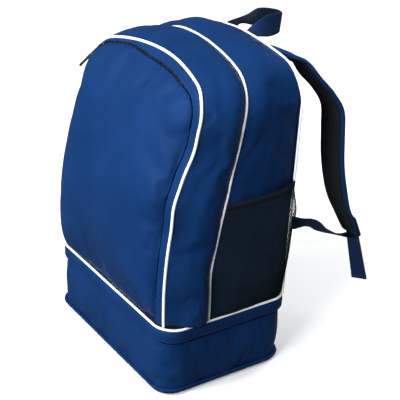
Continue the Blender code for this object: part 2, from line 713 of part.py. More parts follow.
def build_strap(side, mirror):
    sign = -1 if mirror else 1
    sink = Vector((0, 0, -LEFT_STRAP_DROP if mirror else 0.0))

    def placed(points):
        return [Vector((p.x * sign, p.y, p.z)) for p in points]

    line = smooth_line([p + sink for p in STRAP_LINE], 2)
    path, count = placed(line), len(line)

    def turned(direction):
        return Vector((direction.x, direction.y * sign, direction.z * sign))

    shares = [strap_share(k, count) for k in range(count)]
    widths = [STRAP_WIDTH * w for w, _ in shares]
    inner = [SHELL_INNER * t for _, t in shares]
    outer = [-SHELL_OUTER * t for _, t in shares]
    strap_dirs = [turned(STRAP_DIR)] * count
    ribbon(f"strap_shell_{side}", path, strap_dirs, widths, outer, inner, "royal_fabric")
    lining = [low + LINING_GAP for low in inner]
    face = [low + LINING_THICK * t for low, (_, t) in zip(lining, shares)]
    narrow = [w - 3 * MM for w in widths]
    ribbon(f"strap_lining_{side}", path, strap_dirs, narrow, lining, face, "black_mesh")

    end = line[-1]
    down = (line[-1] - line[-2]).normalized()
    out = STRAP_DIR.cross(down).normalized()
    across = down.cross(out).normalized()
    dirs = [turned(across)] * 3
    tail_lift = SHELL_OUTER * shares[-1][1] + 2 * FIT_GAP + WEB_THICK / 2
    lock_lift = tail_lift + WEB_THICK / 2 + FIT_GAP + LOCK_THICK / 2
    lock_place = end - down * 10 * MM + out * lock_lift
    build_lock(f"ladder_lock_{side}", lock_place, down, out, across, sign)

    tab_low = lock_place - down * (LOCK_LENGTH / 2 + 2 * FIT_GAP)
    tab = [tab_low]
    for k in (4, 5):
        ahead = (line[-k + 1] - line[-k - 1]).normalized()
        off = STRAP_DIR.cross(ahead).normalized()
        tab.append(line[-k] + off * (SHELL_OUTER * shares[-k][1] + 2 * FIT_GAP + WEB_THICK))
    webbing(f"strap_end_loop_{side}", placed(list(reversed(tab))), dirs, 2 * WEB_THICK)

    top = end + out * tail_lift - down * 24 * MM
    turn = end + out * tail_lift + down * 8.5 * MM
    webbing(f"strap_tail_upper_{side}", placed([top, (top + turn) / 2, turn]), dirs)
    start = turn + down * 1.0 * MM
    lower = smooth_line([start, (start + TAIL_END + sink) / 2, TAIL_END + sink], 4)
    turns = [math.radians(10 + 20 * k / (len(lower) - 1)) for k in range(len(lower))]
    tail_dirs = [Vector((math.cos(t), math.sin(t) * sign, 0)) for t in turns]
    webbing(f"strap_tail_lower_{side}", placed(lower), tail_dirs)

    hump = [p + sink * (k / len(WEB_LINE)) for k, p in enumerate(WEB_LINE)]
    web_line = smooth_line([*hump, end + down * 8 * MM + out * 0.5 * MM], 3)
    web_dirs = []
    for k in range(len(web_line)):
        share = k / (len(web_line) - 1)
        angle = math.radians(12 + 62 * (1 - min(1.0, share * 1.2)))
        web_dirs.append(Vector((math.cos(angle), 0, math.sin(angle) * sign)))
    webbing(f"lower_webbing_{side}", placed(web_line), web_dirs)

    left, right = sorted((0.1200 * sign, 0.1430 * sign))
    rows = [((left, z), (right, z)) for z in (0.2102, 0.2242, 0.2382)]
    back_plate(f"webbing_anchor_{side}", rows, 2.3 * MM, 4.6 * MM, "navy_webbing", columns=2)


def build_lock(name, place, down, out, across, sign):
    """A ladder lock: a plate with two slots and the three bars that grip the webbing."""
    bm = bmesh.new()
    bmesh.ops.create_cube(bm, size=1.0, matrix=Matrix.Diagonal((LOCK_WIDTH, LOCK_LENGTH, LOCK_THICK, 1)))
    upright = [e for e in bm.edges if abs(e.verts[0].co.z - e.verts[1].co.z) > LOCK_THICK / 2]
    bmesh.ops.bevel(bm, geom=upright, offset=5 * MM, segments=2, affect="EDGES")
    mesh = bpy.data.meshes.new(name)
    bm.to_mesh(mesh)
    bm.free()
    lock = add_object(name, mesh, "black_plastic")
    columns = [Vector((v.x * sign, v.y, v.z)) for v in (across * sign, down, out, place)]
    rows = [[column[i] for column in columns] for i in range(3)]
    lock.matrix_world = Matrix([*rows, (0, 0, 0, 1)])
    for index, shift in enumerate((-0.22, 0.20)):
        cutter_mesh = bpy.data.meshes.new(f"{name}_slot")
        bm = bmesh.new()
        size = (WEB_WIDTH + 1.5 * MM, 6.5 * MM, LOCK_THICK * 3, 1)
        bmesh.ops.create_cube(bm, size=1.0, matrix=Matrix.Diagonal(size))
        bm.to_mesh(cutter_mesh)
        bm.free()
        cutter = add_object(f"{name}_slot_{index}", cutter_mesh, "black_plastic")
        cutter.matrix_world = lock.matrix_world @ Matrix.Translation((0, LOCK_LENGTH * shift, 0))
        cutter.hide_render = True
        cutter.display_type = "WIRE"
        slot = lock.modifiers.new(f"slot_{index}", "BOOLEAN")
        slot.operation = "DIFFERENCE"
        slot.object = cutter


# ------------------------------------------------------------------ the whole bag


def main():
    clear_scene()
    build_base()
    build_base_sliders()
    build_pipings()
    build_gussets()
    build_front_zip()
    build_front_panel()
    build_front_sliders()
    build_back()
    build_floor_panel()
    build_handle()
    for side, mirror in (("right", False), ("left", True)):
        build_pocket(side, mirror)
        build_strap(side, mirror)


main()
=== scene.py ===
"""Looks for the sports backpack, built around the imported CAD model.

Metres, +Z up, the front panel faces -Y. The soft goods are rebuilt as sewn cloth: each panel runs from seam to
seam, is creased and stuffed, and hides the CAD solid that it stands for.
"""

import math

import bmesh
import bpy
import numpy as np
from mathutils import Matrix, Vector, noise


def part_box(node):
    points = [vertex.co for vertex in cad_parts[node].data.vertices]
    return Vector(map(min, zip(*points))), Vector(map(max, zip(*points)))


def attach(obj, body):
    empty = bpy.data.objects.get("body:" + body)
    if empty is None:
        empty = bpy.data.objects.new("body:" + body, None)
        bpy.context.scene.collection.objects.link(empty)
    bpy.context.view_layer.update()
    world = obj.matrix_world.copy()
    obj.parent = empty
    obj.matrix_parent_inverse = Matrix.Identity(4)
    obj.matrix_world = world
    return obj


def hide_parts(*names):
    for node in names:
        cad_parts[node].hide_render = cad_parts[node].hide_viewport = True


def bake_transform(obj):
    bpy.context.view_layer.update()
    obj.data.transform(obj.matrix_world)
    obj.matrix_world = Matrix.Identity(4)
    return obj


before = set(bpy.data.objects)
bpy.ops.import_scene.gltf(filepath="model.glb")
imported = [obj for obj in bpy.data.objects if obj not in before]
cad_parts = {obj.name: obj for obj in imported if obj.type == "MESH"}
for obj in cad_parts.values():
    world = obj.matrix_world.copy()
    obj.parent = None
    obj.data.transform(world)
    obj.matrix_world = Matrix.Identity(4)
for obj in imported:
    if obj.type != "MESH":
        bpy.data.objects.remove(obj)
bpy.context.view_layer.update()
MM = 0.001
UP = Vector((0, 0, 1))

# The design's driving sizes, as in the CAD source
RING_LOW, RING_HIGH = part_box("base_piping")
RING_R = 2.2 * MM
RING_PIPING_R, FRONT_PIPING_R, MIDDLE_PIPING_R, REAR_PIPING_R = 1.85 * MM, 2.05 * MM, 1.8 * MM, 1.5 * MM
WIDTH = RING_HIGH.x - RING_LOW.x - 2 * RING_R
DEPTH = RING_HIGH.y - RING_LOW.y - 2 * RING_R
BASE_HEIGHT = (RING_LOW.z + RING_HIGH.z) / 2
FOOT_Z = BASE_HEIGHT + RING_R + 0.8 * MM
FRONT_CORNER_R, REAR_CORNER_R = 32 * MM, 30 * MM
SKIRT_INSET = 3.5 * MM
SKIRT_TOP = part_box("base_skirt")[1].z
FLAP_LOW, FLAP_HIGH = (corner.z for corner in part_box("base_zip_flap"))
TEETH_Z = (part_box("base_zip_teeth_lower")[1].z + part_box("base_zip_teeth_upper")[0].z) / 2
FRONT_R, FRONT_Z = 0.70, 0.1687
FRONT_Y = -0.107 + FRONT_R
MIDDLE_R, MIDDLE_Z = 1.03, 0.128
MIDDLE_Y = -0.0369 + MIDDLE_R
REAR_FOOT_Y = DEPTH / 2 - 0.2 * MM
REAR_LEAN = 0.0191 / 0.369
REAR_TUCK, REAR_TUCK_HEIGHT = 10 * MM, 0.320
ZIP_MEET = 14.25 * MM
SIDES = (("right", 1), ("left", -1))
AMBIENT = 0.22


# ------------------------------------------------------------------ small geometry helpers


def clamp(value, low=0.0, high=1.0):
    return min(high, max(low, value))


def smoothstep(t):
    t = clamp(t)
    return t * t * (3 - 2 * t)


def wave(x, y, seed, octaves=1):
    """Smooth noise from about -1 to 1."""
    total, size = 0.0, 1.0
    for k in range(octaves):
        total += size * noise.noise(Vector((x * 2**k, y * 2**k, seed * 7.31 + k)))
        size *= 0.5
    return total * 1.6


def smooth_line(points, steps):
    """A Catmull-Rom curve through points, with steps stretches between each two."""
    ends = [2 * points[0] - points[1], *points, 2 * points[-1] - points[-2]]
    line = []
    for a, b, c, d in zip(ends, ends[1:], ends[2:], ends[3:]):
        for k in range(steps):
            t = k / steps
            cubic = (3 * b - a - 3 * c + d) * t**3
            line.append(0.5 * (2 * b + (c - a) * t + (2 * a - 5 * b + 4 * c - d) * t**2 + cubic))
    line.append(points[-1].copy())
    return line


def lengths(line):
    """How far along the line each point is."""
    run = [0.0]
    for a, b in zip(line, line[1:]):
        run.append(run[-1] + (b - a).length)
    return run


def evenly(line, step, closed=False):
    """The line again, with its points about step apart."""
    line = [*line, line[0]] if closed else line
    run = lengths(line)
    count = max(2, round(run[-1] / step))
    out, i = [], 0
    for k in range(count if closed else count + 1):
        goal = run[-1] * k / count
        while i < len(line) - 2 and run[i + 1] < goal:
            i += 1
        span = max(run[i + 1] - run[i], 1e-9)
        out.append(line[i].lerp(line[i + 1], clamp((goal - run[i]) / span)))
    return out


def tangents(line, closed=False):
    count = len(line)
    found = []
    for i in range(count):
        if closed:
            ahead = line[(i + 1) % count] - line[i - 1]
        else:
            ahead = line[min(i + 1, count - 1)] - line[max(i - 1, 0)]
        found.append(ahead.normalized())
    return found


# ------------------------------------------------------------------ object helpers


def make_object(name, verts, faces, material, smooth=True):
    mesh = bpy.data.meshes.new(name)
    mesh.from_pydata([tuple(v) for v in verts], [], faces)
    mesh.update()
    if smooth:
        mesh.shade_smooth()
    obj = bpy.data.objects.new(name, mesh)
    bpy.context.scene.collection.objects.link(obj)
    mesh.materials.append(material)
    return obj


def grid(name, rows, material, closed_u=False, closed_v=False):
    """A sheet of quads through rows of points."""
    n, m = len(rows), len(rows[0])
    verts = [p for row in rows for p in row]
    faces = []
    for i in range(n if closed_u else n - 1):
        for j in range(m if closed_v else m - 1):
            i2, j2 = (i + 1) % n, (j + 1) % m
            faces.append((i * m + j, i * m + j2, i2 * m + j2, i2 * m + j))
    return make_object(name, verts, faces, material)


def loft(name, rings, material, cyclic=False):
    """A closed solid through rings of points, capped at its ends unless it is cyclic."""
    obj = grid(name, rings, material, closed_u=cyclic, closed_v=True)
    if not cyclic:
        cap_ends(obj, len(rings), len(rings[0]))
    fix_normals(obj)
    return obj


def cap_ends(obj, n, m):
    bm = bmesh.new()
    bm.from_mesh(obj.data)
    bm.verts.ensure_lookup_table()
    bm.faces.new([bm.verts[j] for j in range(m)])
    bm.faces.new([bm.verts[(n - 1) * m + j] for j in range(m)])
    bm.to_mesh(obj.data)
    bm.free()


def fix_normals(obj):
    bm = bmesh.new()
    bm.from_mesh(obj.data)
    bmesh.ops.recalc_face_normals(bm, faces=bm.faces[:])
    bm.to_mesh(obj.data)
    bm.free()
    obj.data.shade_smooth()


def bake(obj):
    """Puts the object's modifiers into its mesh."""
    bpy.context.view_layer.update()
    evaluated = obj.evaluated_get(bpy.context.evaluated_depsgraph_get())
    mesh = bpy.data.meshes.new_from_object(evaluated)
    obj.modifiers.clear()
    obj.data = mesh
    return obj


def thicken(obj, thickness, offset=-1.0, subdivide=0):
    """Gives a sheet its thickness, inwards from its face unless offset says otherwise."""
    if subdivide:
        soft = obj.modifiers.new("smooth", "SUBSURF")
        soft.levels = soft.render_levels = subdivide
    solid = obj.modifiers.new("thickness", "SOLIDIFY")
    solid.thickness = thickness
    solid.offset = offset
    return bake(obj)


def tube(name, line, radius, material, closed=False, sides=10, swell=None):
    """A round cord along line. swell(i) scales its radius at point i."""
    ahead = tangents(line, closed)
    normal = ahead[0].orthogonal().normalized()
    rings = []
    for i, (p, t) in enumerate(zip(line, ahead)):
        normal = (normal - t * normal.dot(t)).normalized()
        side = t.cross(normal)
        r = radius * (swell(i) if swell else 1.0)
        turns = [2 * math.pi * k / sides for k in range(sides)]
        rings.append([p + normal * (r * math.cos(a)) + side * (r * math.sin(a)) for a in turns])
    return loft(name, rings, material, cyclic=closed)


def strip_solid(name, line, dirs, section, material, closed=False, sway=None):
    """A solid along line whose section is a list of (across, normal) points, which may depend on the share."""
    ahead = tangents(line, closed)
    rings = []
    for i, (p, t) in enumerate(zip(line, ahead)):
        normal = t.cross(dirs[i]).normalized()
        across = normal.cross(t).normalized()
        shape = section(i / (len(line) - 1)) if callable(section) else section
        lift = sway(i) if sway else 0.0
        rings.append([p + across * a + normal * (b + lift) for a, b in shape])
    return loft(name, rings, material, cyclic=closed)


def join(name, objs):
    """One object from several."""
    bm = bmesh.new()
    for obj in objs:
        bm.from_mesh(obj.data)
    mesh = bpy.data.meshes.new(name)
    bm.to_mesh(mesh)
    bm.free()
    material = objs[0].data.materials[0]
    for obj in objs:
        bpy.data.objects.remove(obj)
    joined = bpy.data.objects.new(name, mesh)
    bpy.context.scene.collection.objects.link(joined)
    mesh.materials.append(material)
    mesh.shade_smooth()
    mesh.set_sharp_from_angle(angle=math.radians(50))
    return joined


def place(obj, body, slot, *nodes):
    """The piece rides on a body and stands for CAD nodes. Its slot is not used."""
    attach(obj, body)
    if nodes:
        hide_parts(*nodes)
    return obj


def stitch_row(name, line, normals, body, closed=False, length=2.6 * MM, gap=1.1 * MM, radius=0.28 * MM):
    """A row of sewn stitches lying on a surface, each a short thread that dips in at both ends."""
    path = evenly(line, length + gap, closed)
    run = [nearest(line, p) for p in path]
    verts, faces = [], []
    sides = 6
    for k in range(len(path) - (0 if closed else 1)):
        a, b = path[k], path[(k + 1) % len(path)]
        along = b - a
        if along.length < 0.5 * length:
            continue
        start = a + along * (gap / 2 / (length + gap))
        end = b - along * (gap / 2 / (length + gap))
        normal = normals[run[k]]
        side = along.cross(normal).normalized()
        out = side.cross(along).normalized()
        first = len(verts)
        for share, size, lift in ((0.0, 0.35, -0.6), (0.18, 0.9, 0.35), (0.82, 0.9, 0.35), (1.0, 0.35, -0.6)):
            centre = start.lerp(end, share) + out * (radius * lift)
            for s in range(sides):
                turn = 2 * math.pi * s / sides
                verts.append(centre + (side * math.cos(turn) + out * math.sin(turn)) * (radius * size))
        for ring in range(3):
            for s in range(sides):
                i, j = first + ring * sides + s, first + ring * sides + (s + 1) % sides
                faces.append((i, j, j + sides, i + sides))
        faces.append(tuple(first + s for s in reversed(range(sides))))
        faces.append(tuple(first + 3 * sides + s for s in range(sides)))
    obj = make_object(name, verts, faces, thread_material())
    fix_normals(obj)
    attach(obj, body)
    return obj


def nearest(line, p):
    return min(range(len(line)), key=lambda i: (line[i] - p).length_squared)


# ------------------------------------------------------------------ materials


def shader_of(name, colour, roughness, metallic=0.0, specular=0.4):
    material = bpy.data.materials.new(name)
    material.use_nodes = True
    tree = material.node_tree
    shader = tree.nodes["Principled BSDF"]
    shader.inputs["Base Color"].default_value = (*colour, 1)
    shader.inputs["Roughness"].default_value = roughness
    shader.inputs["Metallic"].default_value = metallic
    shader.inputs["Specular IOR Level"].default_value = specular
    return material, tree, shader


def add_node(tree, kind, **inputs):
    made = tree.nodes.new(kind)
    for key, value in inputs.items():
        made.inputs[key.replace("_", " ")].default_value = value
    return made


def place_of(tree):
    return tree.nodes.new("ShaderNodeTexCoord").outputs["Object"]


def noise_of(tree, scale, detail=3.0, stretch=None):
    """Noise in the object's own space, stretched along the axes if asked."""
    where = place_of(tree)
    if stretch:
        mapping = add_node(tree, "ShaderNodeMapping", Scale=stretch)
        tree.links.new(where, mapping.inputs["Vector"])
        where = mapping.outputs["Vector"]
    made = add_node(tree, "ShaderNodeTexNoise", Scale=scale, Detail=detail)
    tree.links.new(where, made.inputs["Vector"])
    return made.outputs["Fac"]


def ramp(tree, source, low, high, from_low=0.3, from_high=0.7):
    """The source as a number from low to high."""
    made = add_node(tree, "ShaderNodeMapRange", From_Min=from_low, From_Max=from_high, To_Min=low, To_Max=high)
    tree.links.new(source, made.inputs["Value"])
    return made.outputs["Result"]


def blend_colours(tree, factor, first, second):
    mix = tree.nodes.new("ShaderNodeMix")
    mix.data_type = "RGBA"
    tree.links.new(factor, mix.inputs["Factor"])
    mix.inputs[6].default_value = (*first, 1)
    mix.inputs[7].default_value = (*second, 1)
    return mix.outputs[2]


def weave_of(tree, pitch):
    """A plain weave: bands along each axis, which read as over-and-under threads on any face."""
    where = place_of(tree)
    heights = []
    for axis in ("X", "Y", "Z"):
        bands = tree.nodes.new("ShaderNodeTexWave")
        bands.wave_type = "BANDS"
        bands.bands_direction = axis
        bands.inputs["Scale"].default_value = 1 / (pitch * 2 * math.pi) * 0.314 * 10
        bands.inputs["Distortion"].default_value = 0.6
        bands.inputs["Detail"].default_value = 1.0
        tree.links.new(where, bands.inputs["Vector"])
        heights.append(bands.outputs["Fac"])
    total = heights[0]
    for more in heights[1:]:
        add = tree.nodes.new("ShaderNodeMath")
        add.operation = "ADD"
        tree.links.new(total, add.inputs[0])
        tree.links.new(more, add.inputs[1])
        total = add.outputs[0]
    return total


def add_bump(tree, shader, source, strength, distance, below=None):
    bump = add_node(tree, "ShaderNodeBump", Strength=strength, Distance=distance)
    tree.links.new(source, bump.inputs["Height"])
    if below:
        tree.links.new(below, bump.inputs["Normal"])
    tree.links.new(bump.outputs["Normal"], shader.inputs["Normal"])
    return bump.outputs["Normal"]


def cloth(name, colour, roughness=0.52, shine=0.12, weave=0.5 * MM, spread=0.14, crease=0.35):
    """Coated woven cloth: a fine weave, soft creases, a sheen in its own colour, and a colour that drifts."""
    material, tree, shader = shader_of(name, colour, roughness, 0.0, shine)
    peak = max(colour)
    shader.inputs["Specular Tint"].default_value = (*(0.3 + 0.7 * c / peak for c in colour), 1)
    drift = ramp(tree, noise_of(tree, 14.0), 0.0, 1.0)
    dark = tuple(c * (1 - spread) for c in colour)
    light = tuple(c * (1 + spread) for c in colour)
    tree.links.new(blend_colours(tree, drift, dark, light), shader.inputs["Base Color"])
    gloss = ramp(tree, noise_of(tree, 60.0), roughness - 0.05, roughness + 0.06)
    tree.links.new(gloss, shader.inputs["Roughness"])
    soft = add_bump(tree, shader, noise_of(tree, 38.0, 2.0, (1.0, 1.0, 0.45)), crease, 2.0 * MM)
    add_bump(tree, shader, weave_of(tree, weave), 0.10, 0.10 * MM, soft)
    return material


def webbing_cloth(name, colour, metallic=0.1):
    """Webbing: a coarse rib across its run and a fine one along it."""
    material, tree, shader = shader_of(name, colour, 0.62, metallic, 0.12)
    drift = ramp(tree, noise_of(tree, 320.0, 2.0), 0.0, 1.0)
    mixed = blend_colours(tree, drift, tuple(c * 0.72 for c in colour), tuple(c * 1.22 for c in colour))
    tree.links.new(mixed, shader.inputs["Base Color"])
    add_bump(tree, shader, weave_of(tree, 1.3 * MM), 0.35, 0.35 * MM)
    return material


def spacer_cloth(name, colour):
    """Knitted spacer mesh: a field of small round holes, with painted shade inside them."""
    material, tree, shader = shader_of(name, colour, 0.85, 0.0, 0.2)
    cells = add_node(tree, "ShaderNodeTexVoronoi", Scale=420.0)
    tree.links.new(place_of(tree), cells.inputs["Vector"])
    holes = ramp(tree, cells.outputs["Distance"], 0.0, 1.0, 0.15, 0.55)
    # The holes are painted a quarter as bright as the knit: painted shade in their recesses
    tree.links.new(blend_colours(tree, holes, tuple(c * 0.25 for c in colour), colour), shader.inputs["Base Color"])
    add_bump(tree, shader, holes, 0.6, 0.6 * MM)
    return material


def moulded(name, colour, roughness=0.4, grain=900.0, metallic=0.0):
    """Moulded plastic or painted metal with a fine grain and slightly worn spots."""
    material, tree, shader = shader_of(name, colour, roughness, metallic, 0.5)
    wear = ramp(tree, noise_of(tree, 90.0, 4.0), 0.0, 1.0)
    tree.links.new(
        blend_colours(tree, wear, tuple(c * 0.8 for c in colour), tuple(c * 1.35 + 0.002 for c in colour)),
        shader.inputs["Base Color"],
    )
    shine = ramp(tree, noise_of(tree, 140.0), roughness - 0.08, roughness + 0.1)
    tree.links.new(shine, shader.inputs["Roughness"])
    add_bump(tree, shader, noise_of(tree, grain, 2.0), 0.12, 0.15 * MM)
    return material


def vinyl(name, colour):
    """White vinyl over a cord, with faint puckers from its seam."""
    material, tree, shader = shader_of(name, colour, 0.42, 0.0, 0.45)
    drift = ramp(tree, noise_of(tree, 45.0), 0.0, 1.0)
    tree.links.new(blend_colours(tree, drift, tuple(c * 0.95 for c in colour), colour), shader.inputs["Base Color"])
    shader.inputs["Subsurface Weight"].default_value = 0.05
    shader.inputs["Subsurface Radius"].default_value = (0.002, 0.002, 0.002)
    add_bump(tree, shader, noise_of(tree, 420.0, 2.0), 0.15, 0.2 * MM)
    return material


def thread_material():
    found = bpy.data.materials.get("stitch_thread")
    if found:
        return found
    material, tree, shader = shader_of("stitch_thread", (0.012, 0.040, 0.150), 0.5, 0.1, 0.3)
    add_bump(tree, shader, noise_of(tree, 2600.0, 1.0), 0.3, 0.08 * MM)
    return material


FABRIC = cloth("royal_coated_polyester", (0.0038, 0.0240, 0.0930))
PANEL_FABRIC = cloth("royal_padded_polyester", (0.0039, 0.0246, 0.0950), crease=0.28)
LINING = cloth("dark_lining", (0.004, 0.008, 0.022), 0.7, 0.1)
PIPING = vinyl("white_vinyl_piping", (0.93, 0.94, 0.95))
WEBBING = webbing_cloth("navy_webbing_weave", (0.0060, 0.0210, 0.0700))
# A darker copy of the navy webbing: painted shade for the under side of the handle loop, which faces away from the
# light
WEBBING_PAINTED_SHADE = webbing_cloth("navy_webbing_painted_shade", (0.0040, 0.0090, 0.0200))
TAPE = webbing_cloth("zip_tape_weave", (0.0035, 0.0110, 0.0380))
COIL = moulded("zip_coil_nylon", (0.003, 0.005, 0.014), 0.35)
NET = cloth("black_net_thread", (0.0110, 0.0190, 0.0185), 0.75, 0.1, spread=0.25)
ELASTIC = webbing_cloth("black_elastic_rib", (0.0065, 0.0120, 0.0150), 0.0)
SPACER = spacer_cloth("black_spacer_mesh", (0.0060, 0.0095, 0.0125))
PLASTIC = moulded("black_acetal", (0.006, 0.007, 0.009), 0.42)
TRAY = moulded("black_polypropylene", (0.008, 0.009, 0.010), 0.5, 500.0)
METAL = moulded("black_painted_zinc", (0.014, 0.015, 0.018), 0.35, 1200.0, 0.6)


# ------------------------------------------------------------------ outlines, as in the CAD


def footprint(inset, steps=14):
    """The base's rounded outline, closed, from the middle of the rear side."""
    hx, hy = WIDTH / 2 - inset, DEPTH / 2 - inset
    front, rear = FRONT_CORNER_R - inset, REAR_CORNER_R - inset
    corners = (
        (-hx + rear, hy - rear, rear, 90),
        (-hx + front, -hy + front, front, 180),
        (hx - front, -hy + front, front, 270),
        (hx - rear, hy - rear, rear, 0),
    )
    outline = []
    for cx, cy, radius, start in corners:
        for k in range(steps + 1):
            a = math.radians(start + 90 * k / steps)
            outline.append(Vector((cx + radius * math.cos(a), cy + radius * math.sin(a), 0)))
    return outline


def tuck(z):
    return max(0.0, 1 - (z - BASE_HEIGHT) / REAR_TUCK_HEIGHT) ** 1.1


class Arch:
    """An arch of straight legs, round corners and a crowned top, whose left shoulder hangs lower by slump."""

    def __init__(
        self, half_width, top_z, corner_r, top_r, depth_at, foot_in=0.0, slump=0.0, slump_x=0.02, run=0.16, gather=0.0
    ):
        self.half_width, self.top_z, self.foot_in = half_width, top_z, foot_in
        self.slump, self.slump_x, self.slump_run = slump, slump_x, run
        self.gather = gather
        self.corner_r, self.top_r, self.depth_at = corner_r, top_r, depth_at
        self.top_centre_z = top_z - top_r
        self.corner_x = half_width - corner_r
        self.corner_z = self.top_centre_z + math.sqrt((top_r - corner_r) ** 2 - self.corner_x**2)
        self.meet = math.atan2(self.corner_z - self.top_centre_z, self.corner_x)

    def flat(self, inset=0.0, legs=40, corners=20, top=48, foot_z=None):
        """(x, z, normal x, normal z) from the right foot over the top to the left foot."""
        foot_z = FOOT_Z if foot_z is None else foot_z
        right = []
        for k in range(legs):
            z = foot_z + (self.corner_z - foot_z) * k / legs
            right.append((self.half_width - inset - self.foot_in * tuck(z), z, 1.0, 0.0))
        for k in range(corners):
            a = self.meet * k / corners
            c, s = math.cos(a), math.sin(a)
            right.append((self.corner_x + (self.corner_r - inset) * c, self.corner_z + (self.corner_r - inset) * s, c, s))
        for k in range(top // 2):
            a = self.meet + (math.pi / 2 - self.meet) * k / (top // 2)
            c, s = math.cos(a), math.sin(a)
            right.append(((self.top_r - inset) * c, self.top_centre_z + (self.top_r - inset) * s, c, s))
        crown = (0.0, self.top_z - inset, 0.0, 1.0)
        even = [*right, crown, *((-x, z, -nx, nz) for x, z, nx, nz in reversed(right))]
        found = []
        for x, z, nx, nz in even:
            out = self.gathered(x, z) * smoothstep(inset / (13 * MM))
            x, z = x + nx * out, z + nz * out
            found.append((x, self.slumped(x, z), nx, nz))
        return found

    def gathered(self, x, z):
        """How far the fabric is drawn up to the seam at the left shoulder."""
        return self.gather * smoothstep((0.01 - x) / 0.07) * smoothstep((z - 0.400) / 0.030)

    def slumped(self, x, z):
        across = smoothstep((self.slump_x - x) / self.slump_run)
        return z - self.slump * across * smoothstep((z - 0.24) / 0.16)

    def line(self, inset=0.0, lift=0.0, **steps):
        return [Vector((x, self.depth_at(z, x) - lift, z)) for x, z, _, _ in self.flat(inset, **steps)]


def bell(t):
    return math.exp(-t * t)


def front_depth(z, x=-1.0):
    """The front face's depth. Its right leg is slack: it bends in at the waist and stands back above it."""
    bend = 1.6 * smoothstep((0.290 - z) / 0.03) - 2.6 * bell((z - 0.303) / 0.018)
    bend += 6.2 * bell((z - 0.375) / 0.027) - 2.6 * bell((z - 0.440) / 0.018)
    return FRONT_Y - math.sqrt(FRONT_R**2 - (z - FRONT_Z) ** 2) + bend * MM * smoothstep((x - 0.03) / 0.09)


def middle_depth(z, x=-1.0):
    bend = 1.3 * bell((z - 0.305) / 0.03) - 4.2 * bell((z - 0.193) / 0.036) - 3.0 * bell((z - 0.404) / 0.022)
    return MIDDLE_Y - math.sqrt(MIDDLE_R**2 - (z - MIDDLE_Z) ** 2) + bend * MM * smoothstep((x - 0.03) / 0.09)


def back_line(z):
    return REAR_FOOT_Y - REAR_LEAN * (z - BASE_HEIGHT)


def rear_depth(z, x=0.0):
    return back_line(z) - REAR_TUCK * tuck(z)


def back_surface(x, z):
    share = min(1.0, abs(x) / 0.150)
    return rear_depth(z) + (back_line(z) - rear_depth(z)) * (1 - share**4)


FRONT_ARCH = Arch(0.1400, 0.4704, 0.048, 0.37, front_depth, slump=4.0 * MM, slump_x=0.06, gather=7.0 * MM)
MIDDLE_ARCH = Arch(0.1547, 0.4780, 0.075, 0.36, middle_depth, slump=14.0 * MM, slump_x=-0.03, run=0.10)
REAR_ARCH = Arch(0.1518, 0.4800, 0.050, 0.70, rear_depth, foot_in=6.0 * MM, slump=22.0 * MM)


# ------------------------------------------------------------------ cloth simulation

WAITING = []


def to_simulate(obj, pin, pressure, grow, out_cap, in_cap, stiffness=15.0, bending=0.6):
    """Queues a sheet for the cloth simulation. pin holds its seams, and caps limit how far a point may move."""
    group = obj.vertex_groups.new(name="pin")
    for index, weight in enumerate(pin):
        if weight > 0:
            group.add([index], weight, "REPLACE")
    WAITING.append((obj, pressure, grow, out_cap, in_cap, stiffness, bending))


def run_simulation(frames=22):
    """Runs every queued sheet at once and keeps the result as its mesh."""
    scene = bpy.context.scene
    scene.frame_start, scene.frame_end = 1, frames
    for obj, pressure, grow, _, _, stiffness, bending in WAITING:
        modifier = obj.modifiers.new("cloth", "CLOTH")
        settings = modifier.settings
        settings.quality = 6
        settings.mass = 0.25
        settings.tension_stiffness = settings.compression_stiffness = stiffness
        settings.shear_stiffness = stiffness * 0.5
        settings.bending_stiffness = bending
        settings.tension_damping = settings.compression_damping = 12.0
        settings.shrink_min = -grow
        settings.vertex_group_mass = "pin"
        settings.use_pressure = pressure != 0
        settings.uniform_pressure_force = pressure
        settings.effector_weights.gravity = 0.0
        modifier.collision_settings.use_collision = False
        modifier.point_cache.frame_start = 1
        modifier.point_cache.frame_end = frames
    for frame_number in range(1, frames + 1):
        scene.frame_set(frame_number)
    graph = bpy.context.evaluated_depsgraph_get()
    for obj, _, _, out_cap, in_cap, _, _ in WAITING:
        mesh = obj.data
        count = len(mesh.vertices)
        before = np.empty(count * 3)
        mesh.vertices.foreach_get("co", before)
        normals = np.empty(count * 3)
        mesh.vertices.foreach_get("normal", normals)
        after = np.empty(count * 3)
        obj.evaluated_get(graph).data.vertices.foreach_get("co", after)
        before, after, normals = (a.reshape(-1, 3) for a in (before, after, normals))
        move = np.nan_to_num(after - before)
        along = (move * normals).sum(1, keepdims=True)
        sideways = move - along * normals
        size = np.linalg.norm(sideways, axis=1, keepdims=True)
        sideways *= np.minimum(1.0, 0.004 / np.maximum(size, 1e-9))
        soft = np.where(along > 0, out_cap * np.tanh(along / out_cap), in_cap * np.tanh(along / in_cap))
        mesh.vertices.foreach_set("co", (before + sideways + soft * normals).ravel())
        obj.modifiers.clear()
        obj.vertex_groups.clear()
        mesh.update()
    scene.frame_set(1)
    WAITING.clear()


# ------------------------------------------------------------------ camera and stage


